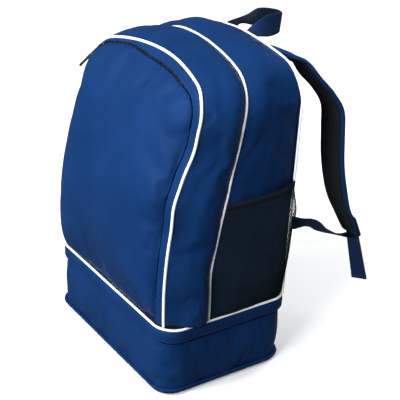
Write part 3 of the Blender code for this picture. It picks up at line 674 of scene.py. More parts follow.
def build_camera():
    """The product view: from the front right, a little above, with the camera rolled a few degrees."""
    size = 0.973
    azimuth, elevation, roll = math.radians(55.208), math.radians(27.948), math.radians(3.145)
    centre = Vector((0, 0, 0.22 * size))
    back = Vector((
        math.sin(azimuth) * math.cos(elevation),
        -math.cos(azimuth) * math.cos(elevation),
        math.sin(elevation),
    ))
    right = Vector((math.cos(azimuth), math.sin(azimuth), 0))
    above = back.cross(right)
    rolled_right = right * math.cos(roll) + above * math.sin(roll)
    rolled_up = above * math.cos(roll) - right * math.sin(roll)
    data = bpy.data.cameras.new("camera")
    data.sensor_width = 36
    data.lens = 104.769
    data.shift_x, data.shift_y = 0.06575, 0.013825
    camera = bpy.data.objects.new("camera", data)
    bpy.context.scene.collection.objects.link(camera)
    spot = centre + back * (1.7763 * size)
    rows = [[rolled_right[i], rolled_up[i], back[i], spot[i]] for i in range(3)]
    camera.matrix_world = Matrix([*rows, (0, 0, 0, 1)])
    bpy.context.scene.camera = camera


def area_light(name, spot, target, size, power, glossy=True):
    data = bpy.data.lights.new(name, "AREA")
    data.shape = "RECTANGLE"
    data.size, data.size_y = size
    data.energy = power
    light = bpy.data.objects.new(name, data)
    light.visible_glossy = glossy
    light.location = spot
    light.rotation_euler = (Vector(target) - Vector(spot)).to_track_quat("-Z", "Y").to_euler()
    bpy.context.scene.collection.objects.link(light)


def build_stage():
    """A pale disc of floor in a pale studio, with a soft key light from above and in front."""
    floor_material, tree, shader = shader_of("studio_floor", (0.94, 0.94, 0.94), 0.9, 0.0, 0.0)
    tree.links.new(ramp(tree, noise_of(tree, 3.0), 0.88, 0.92), shader.inputs["Roughness"])
    reach, turn = 1.5, math.pi / 32
    rim = [Vector((reach * math.cos(k * turn), reach * math.sin(k * turn), -0.4 * MM)) for k in range(64)]
    floor = make_object("floor", rim, [tuple(range(64))], floor_material, smooth=False)
    floor.visible_diffuse = False
    floor.visible_glossy = False
    world = bpy.data.worlds.new("studio")
    bpy.context.scene.world = world
    world.use_nodes = True
    tree = world.node_tree
    ambient = tree.nodes["Background"]
    ambient.inputs["Color"].default_value = (0.90, 0.95, 1.0, 1)
    ambient.inputs["Strength"].default_value = AMBIENT
    pale = add_node(tree, "ShaderNodeBackground", Color=(1, 1, 1, 1), Strength=1.15)
    seen = tree.nodes.new("ShaderNodeLightPath")
    mix = tree.nodes.new("ShaderNodeMixShader")
    tree.links.new(seen.outputs["Is Camera Ray"], mix.inputs[0])
    tree.links.new(ambient.outputs[0], mix.inputs[1])
    tree.links.new(pale.outputs[0], mix.inputs[2])
    tree.links.new(mix.outputs[0], tree.nodes["World Output"].inputs["Surface"])
    area_light("key", (-0.33, -1.48, 1.80), (0, 0, 0.30), (0.9, 0.9), 57)
    area_light("top", (0.3, 0.7, 2.3), (0, 0, 0.2), (1.2, 1.2), 14, glossy=False)
    area_light("right_fill", (0.85, -2.00, 1.05), (0, 0, 0.25), (0.8, 0.8), 54)
    area_light("back_fill", (-0.3, 2.4, 1.6), (0, 0, 0.25), (1.5, 1.5), 75, glossy=False)
    bpy.context.scene.view_settings.view_transform = "Standard"


# ------------------------------------------------------------------ base


def build_base():
    """The fabric skirt over the stiff tray: drawn tight at its corners and slightly slack on its sides."""
    outline = evenly(footprint(SKIRT_INSET), 3.6 * MM, closed=True)
    ahead = tangents(outline, closed=True)
    run = lengths(outline)
    heights = [SKIRT_TOP * k / 24 for k in range(25)]
    rows = []
    for p, t, s in zip(outline, ahead, run):
        out = Vector((t.y, -t.x, 0))
        corner = clamp(abs(abs(p.x) / (WIDTH / 2) - abs(p.y) / (DEPTH / 2)) * 2.2)
        row = []
        for z in heights:
            h = z / SKIRT_TOP
            belly = 2.8 * MM * math.sin(math.pi * h**0.85) ** 0.7 * (0.35 + 0.65 * corner)
            slack = 0.9 * MM * wave(s / 0.075, z / 0.045, 1) + 0.35 * MM * wave(s / 0.024, z / 0.03, 2)
            groove = -0.7 * MM * math.exp(-(((z - 11.5 * MM) / (1.3 * MM)) ** 2))
            off = belly + slack * math.sin(math.pi * clamp(h * 1.05)) ** 0.5 + groove
            row.append(Vector((p.x, p.y, z)) + out * off)
        rows.append(row)
    wall = grid("skirt_wall", rows, FABRIC, closed_u=True)
    fix_facing(wall, Vector((0, 0, 0.04)))
    count = len(heights)
    pin = [1.0 if (i % count) in (0, count - 1) else 0.0 for i in range(len(wall.data.vertices))]
    to_simulate(wall, pin, 1.2, 0.012, 2.5 * MM, 1.2 * MM)

    bottom = [Vector((p.x, p.y, 0)) for p in outline]
    shares = (1.0, 0.96, 0.8, 0.55, 0.25, 0.04)
    rings = [[Vector((p.x * s, p.y * s, 0.0)) for p in bottom] for s in shares]
    rings += [[Vector((p.x * s, p.y * s, 1.4 * MM)) for p in bottom] for s in reversed(shares)]
    floor = loft("skirt_floor", rings, FABRIC, cyclic=True)

    def finish():
        thicken(wall, 1.6 * MM, subdivide=1)
        place(wall, "base", "royal_fabric", "base_skirt")
        place(floor, "base", "royal_fabric")

    binding = evenly(footprint(SKIRT_INSET - 2.2 * MM - 0.3 * MM), 3.0 * MM, closed=True)
    roll = [Vector((p.x, p.y, 7 * MM + 0.35 * MM * wave(i / 30, 0, 3))) for i, p in enumerate(binding)]
    piece = tube("bottom_roll", roll, 2.3 * MM, FABRIC, closed=True, sides=12, swell=lambda i: 1 + 0.05 * wave(i / 5, 1, 4))
    place(piece, "base", "royal_fabric", "base_bottom_binding")
    seam = evenly(footprint(SKIRT_INSET - 0.2 * MM), 3.0 * MM, closed=True)
    line = [Vector((p.x, p.y, 14.0 * MM)) for p in seam]
    normals = [Vector((t.y, -t.x, 0)) for t in tangents(line, closed=True)]
    stitch_row("bottom_roll_stitches", [p + n * 0.9 * MM for p, n in zip(line, normals)], normals, "base", closed=True)
    return finish


def fix_facing(obj, centre):
    """Turns a sheet's faces away from centre."""
    mesh = obj.data
    total = sum((poly.center - centre).dot(poly.normal) * poly.area for poly in mesh.polygons)
    if total < 0:
        mesh.flip_normals()


def coil_teeth(name, line, inward, normal_of, pitch, reach, body, slot, node):
    """One side of a coil zip: a row of small loops that reach from the tape's edge to the middle."""
    path = evenly(line, pitch)
    verts, faces = [], []
    section = ((-0.42, 0.0), (-0.42, 0.55), (0.0, 0.85), (0.42, 0.55), (0.42, 0.0), (0.0, -0.35))
    for k, p in enumerate(path[:-1]):
        along = (path[k + 1] - p).normalized()
        across, normal = inward(p), normal_of(p)
        first = len(verts)
        for share, size in ((0.0, 0.8), (0.55, 1.0), (0.9, 0.95), (1.0, 0.6)):
            for a, b in section:
                spot = across * (reach * share) + along * (a * pitch * size) + normal * (b * 1.15 * MM * size)
                verts.append(p + spot)
        for ring in range(3):
            for s in range(6):
                i, j = first + ring * 6 + s, first + ring * 6 + (s + 1) % 6
                faces.append((i, j, j + 6, i + 6))
        faces.append(tuple(first + s for s in reversed(range(6))))
        faces.append(tuple(first + 18 + s for s in range(6)))
    obj = make_object(name, verts, faces, COIL)
    fix_normals(obj)
    return place(obj, body, slot, node)


def open_ring(inset, z):
    """The footprint at a height, without its rear side."""
    return [Vector((p.x, p.y, z)) for p in footprint(inset)]


def build_base_zip():
    """Coils, tapes and the flap over them. All of it is open along the rear seam."""
    tape_in, tape_out = 6.2 * MM, 5.2 * MM
    bands = (
        ("base_tape_lower", SKIRT_TOP - 1.5 * MM, TEETH_Z - 1.6 * MM, "base", "base_zip_tape_lower"),
        ("base_tape_upper", TEETH_Z + 1.6 * MM, FLAP_HIGH + 1.5 * MM, "upper_bag", "base_zip_tape_upper"),
    )
    for name, low, high, body, node in bands:
        rings = []
        for a, b in zip(open_ring(tape_in, 0), open_ring(tape_out, 0)):
            corners = ((a, low), (b, low), (b, high), (a, high))
            rings.append([Vector((p.x, p.y, z)) for p, z in corners])
        piece = loft(name, rings, TAPE)
        piece.data.set_sharp_from_angle(angle=math.radians(40))
        place(piece, body, "zip_tape", node)
    line = open_ring(tape_out, TEETH_Z)

    def outward(p):
        return facing_out(p)

    coil_teeth("base_coil_lower", [Vector((p.x, p.y, TEETH_Z - 1.7 * MM)) for p in line], lambda p: UP,
               outward, 1.6 * MM, 1.75 * MM, "base", "zip_coil", "base_zip_teeth_lower")
    coil_teeth("base_coil_upper", [Vector((p.x, p.y, TEETH_Z + 1.7 * MM)) for p in line], lambda p: -UP,
               outward, 1.6 * MM, 1.75 * MM, "upper_bag", "zip_coil", "base_zip_teeth_upper")

    path = evenly(footprint(0.0), 3.0 * MM)
    run = lengths(path)
    rings = []
    for p, s in zip(path, run):
        out = facing_out(p)
        end = smoothstep(min(s, run[-1] - s) / 0.02)
        front = bell(p.x / 0.085) * smoothstep((-0.07 - p.y) / 0.03)
        puff = (0.25 + 1.25 * front + 0.30 * wave(s / 0.07, 0, 5)) * end
        droop = 0.7 * MM * wave(s / 0.055, 3, 6) * end
        section = (
            (-1.2, FLAP_HIGH + 1.2 * MM), (1.2 + 0.6 * puff, FLAP_HIGH - 3 * MM), (1.3 + 1.6 * puff, FLAP_HIGH - 9 * MM),
            (1.0 + 1.7 * puff, FLAP_LOW + 3.2 * MM + droop), (0.7 + 1.6 * puff, FLAP_LOW + 2.4 * MM + droop),
            (0.9 + 1.7 * puff, FLAP_LOW + 1.2 * MM + droop), (0.3 + 1.5 * puff, FLAP_LOW + droop),
            (-0.5 + 1.4 * puff, FLAP_LOW + 0.3 * MM + droop), (-0.6 + 1.2 * puff, FLAP_LOW + 2.0 * MM + droop),
            (-0.4 + 1.1 * puff, FLAP_HIGH - 9 * MM), (-0.8 + 0.3 * puff, FLAP_HIGH - 3 * MM), (-2.4, FLAP_HIGH + 1.0 * MM),
        )
        rings.append([Vector((p.x, p.y, z)) + out * (a * MM) for a, z in section])
    flap = loft("base_flap", rings, FABRIC)
    place(flap, "upper_bag", "royal_fabric", "base_zip_flap")
    stitch_line, stitch_normals = [], []
    for ring in rings:
        stitch_line.append(ring[4].copy())
        stitch_normals.append(facing_out(ring[4]))
    lifted = [p + n * 0.2 * MM for p, n in zip(stitch_line, stitch_normals)]
    stitch_row("base_flap_stitches", lifted, stitch_normals, "upper_bag")

    ring = evenly(footprint(0.0), 3.0 * MM, closed=True)
    ring = [Vector((p.x, p.y, BASE_HEIGHT + 0.25 * MM * wave(i / 24, 0, 7))) for i, p in enumerate(ring)]
    piece = tube(
        "base_ring_piping", ring, RING_PIPING_R, PIPING, closed=True, sides=12, swell=lambda i: 1 + 0.03 * wave(i / 4, 2, 8)
    )
    place(piece, "upper_bag", "white_piping", "base_piping")


def facing_out(p):
    """The footprint's outward direction near a point."""
    hx, hy = WIDTH / 2, DEPTH / 2
    radius = FRONT_CORNER_R if p.y < 0 else REAR_CORNER_R
    cx = math.copysign(hx - radius, p.x) if abs(p.x) > hx - radius else p.x
    cy = math.copysign(hy - radius, p.y) if abs(p.y) > hy - radius else p.y
    out = Vector((p.x - cx, p.y - cy, 0))
    if out.length < 1e-5:
        out = Vector((0, math.copysign(1, p.y), 0)) if abs(p.y) > hy - 0.02 else Vector((math.copysign(1, p.x), 0, 0))
    return out.normalized()


def build_rear_hinge():
    """The fabric strip at the rear that the upper bag tilts about. It bows out a little between the two."""
    low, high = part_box("rear_hinge_tape")
    y = high.y + 0.6 * MM
    rows = []
    for i in range(61):
        x = low.x - 2 * MM + (high.x - low.x + 4 * MM) * i / 60
        row = []
        for j in range(25):
            t = j / 24
            z = low.z - 2.5 * MM + (high.z - low.z + 4 * MM) * t
            bow = 1.6 * MM * math.sin(math.pi * t) + 0.5 * MM * wave(x / 0.03, t * 1.5, 9) * math.sin(math.pi * t)
            row.append(Vector((x, y + bow, z)))
        rows.append(row)
    piece = grid("rear_hinge_cloth", rows, FABRIC)
    fix_facing(piece, Vector((0, 0, 0.1)))
    thicken(piece, 1.2 * MM)
    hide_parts("rear_hinge_tape")
    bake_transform(piece)


# ------------------------------------------------------------------ upper bag


# The rear band bulges over its piping along its legs
REAR_PIPING_TUCK, REAR_HIDDEN_BELOW = 4.5 * MM, 0.450


def build_arch_pipings():
    arches = (
        ("front", FRONT_ARCH, FRONT_PIPING_R), ("middle", MIDDLE_ARCH, MIDDLE_PIPING_R), ("rear", REAR_ARCH, REAR_PIPING_R)
    )
    for k, (name, arch, radius) in enumerate(arches):
        line = evenly(arch.line(), 3.0 * MM)
        wobbled = []
        for i, p in enumerate(line):
            ease = smoothstep(min(i, len(line) - 1 - i) / 8)
            shift = Vector((wave(i / 22, 0, 10 + k), wave(i / 26, 4, 11 + k), wave(i / 22, 8, 12 + k)))
            hidden = smoothstep((REAR_HIDDEN_BELOW - p.z) / 0.04) if name == "rear" else 0.0
            tucked = Vector((math.copysign(-REAR_PIPING_TUCK, p.x), 0, 0)) * hidden
            wobbled.append(p + tucked + shift * (0.35 * MM * ease))
        piece = tube(f"{name}_arch_piping", wobbled, radius, PIPING, sides=12, swell=lambda i: 1 + 0.03 * wave(i / 4, k, 13))
        place(piece, "upper_bag", "white_piping", f"{name}_piping")


def gusset_rows(first, second, side_bulge, top_bulge, skew, seed, across=22):
    """Points of the fabric between two arches, creased along its legs and puckered at its seams."""
    a_line, b_line = first.flat(), second.flat()
    rows = []
    run = 0.0
    previous = None
    for (ax, az, anx, anz), (bx, bz, bnx, bnz) in zip(a_line, b_line):
        a = Vector((ax, first.depth_at(az, ax), az))
        b = Vector((bx, second.depth_at(bz, bx), bz))
        middle = (a + b) / 2
        run += (middle - previous).length if previous else 0.0
        previous = middle
        out = Vector(((anx + bnx) / 2, 0, (anz + bnz) / 2)).normalized()
        bulge = side_bulge + (top_bulge - side_bulge) * out.z**2
        bulge *= 1 + (skew - 1) * 0.6 * smoothstep((0.25 - az) / 0.09)
        span = (b - a).length
        foot = smoothstep((min(az, bz) - FOOT_Z) / 0.03)
        row = []
        for k in range(across + 1):
            t = k / across
            edge = min(t, 1 - t) * span
            window = math.sin(math.pi * t) ** 0.6
            folds = 1.5 * MM * wave(t * span / 0.020, run / 0.13, seed)
            folds += 0.5 * MM * wave(t * span / 0.011, run / 0.05, seed + 1)
            pucker = 0.35 * MM * math.sin(run / 0.0019 + 2.5 * wave(run / 0.02, t, seed + 2)) * math.exp(-edge / 0.006)
            sag = 1.1 * MM * wave(run / 0.045, t * 0.8, seed + 3) * out.z**2
            tucked = -1.6 * MM * math.exp(-edge / 0.0018)
            off = bulge * math.sin(math.pi * t**skew) + window * (folds * (0.5 + 0.5 * foot) + sag) + pucker + tucked
            row.append(a.lerp(b, t) + out * off)
        rows.append(row)
    return rows


def build_gussets():
    pieces = []
    plans = (
        ("front_side_band", "front_gusset", FRONT_ARCH, MIDDLE_ARCH, 11.0 * MM, 6.0 * MM, 1.6, 20),
        ("rear_side_band", "rear_gusset", MIDDLE_ARCH, REAR_ARCH, 3.5 * MM, 7.5 * MM, 1.0, 30),
    )
    for name, node, first, second, side, top, skew, seed in plans:
        rows = gusset_rows(first, second, side, top, skew, seed)
        sheet = grid(name, rows, FABRIC)
        fix_facing(sheet, Vector((0, 0.02, 0.28)))
        across = len(rows[0])
        pin = []
        for i in range(len(rows)):
            for j in range(across):
                seam = j in (0, across - 1) or i in (0, len(rows) - 1)
                pin.append(1.0 if seam else 0.0)
        to_simulate(sheet, pin, 0.8, 0.018, 3.0 * MM, 2.0 * MM)
        pieces.append((sheet, node))

    def finish():
        for sheet, node in pieces:
            thicken(sheet, 1.2 * MM, subdivide=1)
            place(sheet, "upper_bag", "royal_fabric", node)

    return finish


# ------------------------------------------------------------------ front zip and panel


def frame_on_front(x, z, lift=0.0):
    """A point in front of the profile at (x, z), and the profile's upward and outward directions there."""
    slope = (z - FRONT_Z) / FRONT_R
    up = Vector((0, slope, math.sqrt(1 - slope**2)))
    out = Vector((0, -up.z, up.y))
    return Vector((x, front_depth(z, x), z)) + out * lift, up, out


def arch_section(name, section, material, sway=None):
    """A solid that follows the front arch. Its section is a list of (inset, lift) in metres."""
    flats = [FRONT_ARCH.flat(inset) for inset, _ in section]
    count = len(flats[0])
    rings = []
    for i in range(count):
        shift = sway(i, count) if sway else (0.0, 0.0)
        ring = []
        for (inset, lift), flat in zip(section, flats):
            x, z, nx, nz = flat[i]
            share = clamp((inset - 4 * MM) / (8 * MM))
            place_at, up, _ = frame_on_front(x, z, lift + shift[1] * share)
            inward = -(Vector((1, 0, 0)) * nx + up * nz)
            ring.append(place_at + inward * (shift[0] * share))
        rings.append(ring)
    return loft(name, rings, material)


# The welt runs true along this many points of the left leg, where the side slider travels
LEFT_LEG_STEPS = 42


def build_front_zip():
    tape = ((2.0 * MM, -0.5 * MM), (2.0 * MM, 0.5 * MM), (12.7 * MM, 0.5 * MM), (12.7 * MM, -0.5 * MM))
    piece = arch_section("front_tape_outer", tape, TAPE)
    piece.data.set_sharp_from_angle(angle=math.radians(40))
    place(piece, "upper_bag", "zip_tape", "front_zip_tape_outer")
    tape = ((15.8 * MM, -0.5 * MM), (15.8 * MM, 0.5 * MM), (24.5 * MM, 0.5 * MM), (24.5 * MM, -0.5 * MM))
    piece = arch_section("front_tape_inner", tape, TAPE)
    piece.data.set_sharp_from_angle(angle=math.radians(40))
    place(piece, "front_door", "zip_tape", "front_zip_tape_inner")

    def inward(p):
        return (frame_inward(p)).normalized()

    def outward(p):
        return frame_on_front(p.x, p.z)[2]

    outer = FRONT_ARCH.line(12.55 * MM)
    inner = FRONT_ARCH.line(15.95 * MM)
    coil_teeth("front_coil_outer", outer, inward, outward, 1.7 * MM, 1.65 * MM, "upper_bag", "zip_coil",
               "front_zip_teeth_outer")
    coil_teeth("front_coil_inner", inner, lambda p: -inward(p), outward, 1.7 * MM, 1.65 * MM, "front_door", "zip_coil",
               "front_zip_teeth_inner")

    def sway(i, count):
        ends = smoothstep(min(i, count - 1 - i - LEFT_LEG_STEPS) / 12)
        return 0.55 * MM * wave(i / 11, 0, 41) * ends, 0.45 * MM * wave(i / 9, 5, 42) * ends

    fold = (
        (1.4, 0.4), (3.0, 1.6), (5.2, 2.7), (8.0, 3.5), (9.8, 3.7), (10.7, 3.3), (11.5, 3.9), (12.8, 4.2), (13.7, 3.9),
        (13.7, 3.4), (12.8, 3.0), (9.0, 2.4), (5.2, 1.5), (3.0, 0.6),
    )
    welt = arch_section("front_zip_welt", [(a * MM, b * MM) for a, b in fold], FABRIC, sway=sway)
    place(welt, "upper_bag", "royal_fabric", "front_zip_flap")
    line, normals = [], []
    for i, (x, z, nx, nz) in enumerate(FRONT_ARCH.flat(10.7 * MM)):
        shift = sway(i, 217)
        spot, up, out = frame_on_front(x, z, 3.45 * MM + shift[1])
        line.append(spot - (Vector((1, 0, 0)) * nx + up * nz) * shift[0])
        normals.append(out)
    stitch_row("front_welt_stitches", line, normals, "upper_bag")


def frame_inward(p):
    """The direction from the front arch towards its inside, at a point near it."""
    best = min(FRONT_ARCH_NORMALS, key=lambda row: (row[0] - p).length_squared)
    return best[1]


def arch_normals():
    rows = []
    for x, z, nx, nz in FRONT_ARCH.flat(ZIP_MEET):
        spot, up, _ = frame_on_front(x, z)
        rows.append((spot, -(Vector((1, 0, 0)) * nx + up * nz)))
    return rows


FRONT_ARCH_NORMALS = arch_normals()


def square_to_outline(outline, marks, levels, lift_at, centre):
    """A square grid laid over an outline: its rim is the outline, and its rings are the outline drawn in."""
    n = len(levels) - 1
    rows = []
    for i in range(-n, n + 1):
        row = []
        for j in range(-n, n + 1):
            ring = max(abs(i), abs(j))
            if ring == 0:
                row.append(lift_at(centre[0], centre[1], 0.0))
                continue
            if abs(j) == ring and abs(i) <= ring:
                side, along = (0 if j > 0 else 2), i / ring
            else:
                side, along = (1 if i > 0 else 3), j / ring
            x, z = rim_point(outline, marks, side, along)
            share = levels[ring]
            row.append(lift_at(centre[0] + (x - centre[0]) * share, centre[1] + (z - centre[1]) * share, share))
        rows.append(row)
    return rows


def rim_point(outline, marks, side, along):
    """A point of the rim. Sides: 0 top, 1 right, 2 bottom, 3 left; along runs from -1 to 1."""
    t = (along + 1) / 2
    if side == 0:
        start, end = marks["top_left"], marks["top_right"]
    elif side == 1:
        start, end = marks["foot_right"], marks["top_right"]
    elif side == 3:
        start, end = marks["foot_left"], marks["top_left"]
    else:
        (x0, z0), (x1, z1) = outline[marks["foot_left"]], outline[marks["foot_right"]]
        return x0 + (x1 - x0) * t, z0 + (z1 - z0) * t
    at = start + (end - start) * t
    low = int(math.floor(at))
    high = min(low + 1, len(outline) - 1)
    (x0, z0), (x1, z1) = outline[low], outline[high]
    return x0 + (x1 - x0) * (at - low), z0 + (z1 - z0) * (at - low)


PANEL_EDGE = 16.2 * MM


def panel_lift(x, z, share):
    """How far the stuffed panel stands off the front profile: a short flank at its seam, then a gentle crown.

    The load leans to the left, so the left flank is the tallest.
    """
    head_r = FRONT_ARCH.top_r - PANEL_EDGE
    head_z = FRONT_ARCH.slumped(x, FRONT_ARCH.top_centre_z + math.sqrt(head_r**2 - x**2)) + FRONT_ARCH.gathered(x, 0.45)
    rim = (1 - share) * 0.125
    left, right = smoothstep((-x - 0.02) / 0.09), smoothstep((x - 0.02) / 0.09)
    head = 1 - math.exp(-max(0.0, head_z - z) / (11 * MM))
    waist = bell((z - 0.26) / 0.13)
    flank = (6.0 + (7.5 + 3.5 * waist) * left + 1.5 * right * waist) * MM
    depth = flank * (1 - math.exp(-rim / (3.2 * MM))) * (0.35 + 0.65 * head)
    crown = 21 * MM * (1 - math.exp(-rim / (42 * MM))) / (1 - math.exp(-0.125 / 0.042))
    rise = max(0.0, z - FOOT_Z)
    foot = 1 - math.exp(-rise / (16 * MM))
    return depth * foot + crown * (1 - math.exp(-rise / (42 * MM))), foot


def panel_folds(x, z, share):
    """Slack in the panel: broad upright folds, creases dragged in from the right zip, and puckers at its seam."""
    rim = (1 - share) * 0.125
    inside = smoothstep(rim / 0.012)
    broad = 1.3 * wave(x / 0.050, z / 0.15, 51, 2)
    slant = z + 0.55 * x
    dragged = 1.5 * wave(slant / 0.026, x / 0.11, 53) * bell((x - 0.105) / 0.055) * smoothstep((z - 0.20) / 0.08)
    top = 0.9 * wave((x - 0.5 * z) / 0.024, z / 0.12, 54) * smoothstep((z - 0.34) / 0.07)
    pucker = 0.22 * math.sin(math.atan2(z - 0.28, x) * 105 + 2 * wave(x / 0.05, z / 0.05, 55)) * math.exp(-rim / 0.006)
    return ((broad + dragged + top) * inside + pucker) * MM


def build_front_panel():
    """The stuffed front panel, from seam to seam inside the zip, with the lining sewn in behind it."""
    arch = evenly([Vector((x, 0, z)) for x, z, _, _ in FRONT_ARCH.flat(PANEL_EDGE)], 3.0 * MM)
    outline = [(p.x, p.z) for p in arch]
    corner_z = FRONT_ARCH.corner_z + 0.6 * (FRONT_ARCH.corner_r - PANEL_EDGE)
    right = min((i for i, (x, z) in enumerate(outline) if x > 0), key=lambda i: abs(outline[i][1] - corner_z))
    left = len(outline) - 1 - right
    marks = {"foot_right": 0, "top_right": right, "top_left": left, "foot_left": len(outline) - 1}
    centre = (0.0, 0.28)

    def face_point(x, z, share):
        lift, foot = panel_lift(x, z, share)
        return frame_on_front(x, z, 3.2 * MM + lift + panel_folds(x, z, share) * foot)[0]

    def lining_point(x, z, share):
        lift, _ = panel_lift(x, z, share)
        x = x * (1 - 0.03 * share)
        return frame_on_front(x, z, 3.2 * MM + max(0.0, lift - 7 * MM) * 0.8)[0]

    levels = [0.78 * k / 27 for k in range(28)]
    levels += [0.78 + 0.22 * (1 - (1 - k / 16) ** 2.0) for k in range(1, 17)]
    rows = square_to_outline(outline, marks, levels, face_point, centre)
    face = grid("front_panel_cloth", rows, PANEL_FABRIC)
    fix_facing(face, Vector((0, 0.3, 0.28)))
    size = len(rows)
    middle = size // 2
    pin = [1.0 if max(abs(i - middle), abs(j - middle)) == middle else 0.0 for i in range(size) for j in range(size)]
    to_simulate(face, pin, 0.5, 0.009, 2.5 * MM, 2.0 * MM, stiffness=18.0, bending=0.9)

    def finish():
        thicken(face, 1.3 * MM, subdivide=1)
        place(face, "front_door", "padded_panel", "front_panel")
        back = grid("front_panel_lining", square_to_outline(outline, marks, levels[::2], lining_point, centre), LINING)
        fix_facing(back, Vector((0, -0.5, 0.28)))
        thicken(back, 0.9 * MM)
        place(back, "front_door", "padded_panel")

    return finish


# ------------------------------------------------------------------ sliders and pulls


def at_frame(verts, place_at, along, across, out):
    return [place_at + along * a + across * b + out * c for a, b, c in verts]


def slider_mesh(name, spot, along, out, body, node, width=8 * MM, length=11 * MM):
    """A zip slider: a shield-shaped plate with turned-down edges, and a bridge that the pull hangs from."""
    across = along.cross(out).normalized()
    half = length / 2
    outline = []
    for k in range(28):
        a = 2 * math.pi * k / 28
        c, s = math.cos(a), math.sin(a)
        taper = 1.0 - 0.24 * c
        u = math.copysign(abs(c) ** 0.75, c) * half
        v = math.copysign(abs(s) ** 0.7, s) * width / 2 * taper / 1.1
        outline.append((u, v))
    rings = []
    for shrink, height in ((0.97, -0.2), (1.0, 0.1), (1.0, 0.75), (0.93, 1.15), (0.80, 1.3), (0.3, 1.42)):
        rings.append(at_frame([(u * shrink, v * shrink, height * MM) for u, v in outline], spot, along, across, out))
    plate = loft(f"{name}_plate", rings, METAL)
    bridge_line = []
    for k in range(13):
        a = math.pi * k / 12
        bridge_line.append(spot + along * (-math.cos(a) * half * 0.62) + out * ((1.2 + 2.2 * math.sin(a)) * MM))
    dirs = [across] * len(bridge_line)
    section = (
        (-1.3 * MM, -0.35 * MM), (1.3 * MM, -0.35 * MM), (1.45 * MM, 0.1 * MM),
        (0.9 * MM, 0.45 * MM), (-0.9 * MM, 0.45 * MM), (-1.45 * MM, 0.1 * MM),
    )
    bridge = strip_solid(f"{name}_bridge", bridge_line, dirs, section, METAL)
    piece = join(name, [plate, bridge])
    return place(piece, body, "slider_metal", node)


def pull_mesh(name, hinge, along, out, length, body, node, width=5 * MM):
    """A pull: a wire loop through the bridge, a doubled cord, and a moulded tip."""
    across = along.cross(out).normalized()
    loop = []
    for k in range(18):
        a = 2 * math.pi * k / 18
        loop.append(hinge + across * (1.9 * MM * math.sin(a)) + along * (2.4 * MM - 2.7 * MM * math.cos(a)))
    parts = [tube(f"{name}_loop", loop, 0.55 * MM, METAL, closed=True, sides=8)]
    cord_start, cord_end = 3.8 * MM, length * 0.46
    for side in (-1, 1):
        line = []
        for k in range(9):
            t = k / 8
            spread = 0.75 * MM + 0.35 * MM * math.sin(math.pi * t)
            line.append(hinge + along * (cord_start + (cord_end - cord_start) * t) + across * (side * spread))
        parts.append(tube(f"{name}_cord_{side}", line, 0.8 * MM, METAL, sides=8))
    rings = []
    for share, half, thick in (
        (0.40, 0.30, 0.9), (0.415, 0.42, 1.2), (0.45, 0.46, 1.35), (0.60, 0.50, 1.35), (0.66, 0.44, 1.1), (0.86, 0.46, 1.1),
        (0.92, 0.50, 1.3), (0.98, 0.44, 1.1), (1.0, 0.30, 0.7),
    ):
        centre = hinge + along * (length * share)
        ring = []
        for k in range(16):
            a = 2 * math.pi * k / 16
            c, s = math.cos(a), math.sin(a)
            ring.append(
                centre
                + across * (math.copysign(abs(c) ** 0.6, c) * width * half)
                + out * (math.copysign(abs(s) ** 0.6, s) * thick * MM)
            )
        rings.append(ring)
    parts.append(loft(f"{name}_tip", rings, PLASTIC))
    piece = join(name, parts)
    piece.data.materials.clear()
    piece.data.materials.append(PLASTIC)
    return place(piece, body, "black_plastic", node)


def build_front_sliders():
    lift = 1.5 * MM
    leg_x = -(FRONT_ARCH.half_width - ZIP_MEET)
    spot, up, out = frame_on_front(leg_x, 0.394, lift)
    slider_mesh("side_zip_slider", spot, -up, out, "side_slider", "front_zip_slider_side")
    pull_mesh("side_zip_pull", spot + out * 4.8 * MM - up * 2.5 * MM, -up, out, 38 * MM, "side_pull", "front_zip_pull_side")
    turn = math.radians(48)
    radius = FRONT_ARCH.corner_r - ZIP_MEET + FRONT_ARCH.gather
    x = -(FRONT_ARCH.corner_x + radius * math.cos(turn))
    z = FRONT_ARCH.corner_z + radius * math.sin(turn)
    spot, up, out = frame_on_front(x, FRONT_ARCH.slumped(x, z), lift)
    right = Vector((1, 0, 0))
    along = (right * math.sin(turn) + up * math.cos(turn)).normalized()
    slider_mesh("corner_zip_slider", spot, along, out, "corner_slider", "front_zip_slider_corner")
    hang = (-right * 0.52 - up * 0.85).normalized()
    hinge = spot + out * 4.8 * MM + hang * 2.0 * MM
    leaning = (hang + out * 0.06).normalized()
    pull_mesh("corner_zip_pull", hinge, leaning, out, 50 * MM, "corner_pull", "front_zip_pull_corner")


def build_base_sliders():
    out = Vector((-1, 0, 0))
    face_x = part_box("base_zip_slider_front")[1].x
    for name, y, direction in (("front", -8 * MM, 1), ("rear", 8 * MM, -1)):
        along = Vector((0, direction, 0))
        spot = Vector((face_x, y, TEETH_Z))
        slider_mesh(f"base_{name}_zip_slider", spot, along, out, f"base_slider_{name}", f"base_zip_slider_{name}",
                    7 * MM, 10 * MM)
        box_low, box_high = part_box(f"base_zip_pull_{name}")
        hinge = Vector(((box_low.x + box_high.x) / 2, y, box_high.z))
        piece = flat_pull(f"base_{name}_zip_pull", hinge, 24 * MM)
        place(piece, f"base_pull_{name}", "black_plastic", f"base_zip_pull_{name}")


def flat_pull(name, hinge, length):
    """A flat stamped tab with a waist and a rim."""
    rings = []
    profile = ((0.0, 1.3), (0.05, 1.7), (0.30, 1.5), (0.38, 1.9), (0.50, 2.5), (0.90, 2.5), (0.97, 2.1), (1.0, 1.4))
    for share, half in profile:
        z = hinge.z - length * share
        ring = []
        for k in range(16):
            a = 2 * math.pi * k / 16
            c, s = math.cos(a), math.sin(a)
            ring.append(Vector((
                hinge.x + math.copysign(abs(s) ** 0.7, s) * 0.7 * MM,
                hinge.y + math.copysign(abs(c) ** 0.7, c) * half * MM,
                z,
            )))
        rings.append(ring)
    return loft(name, rings, PLASTIC)


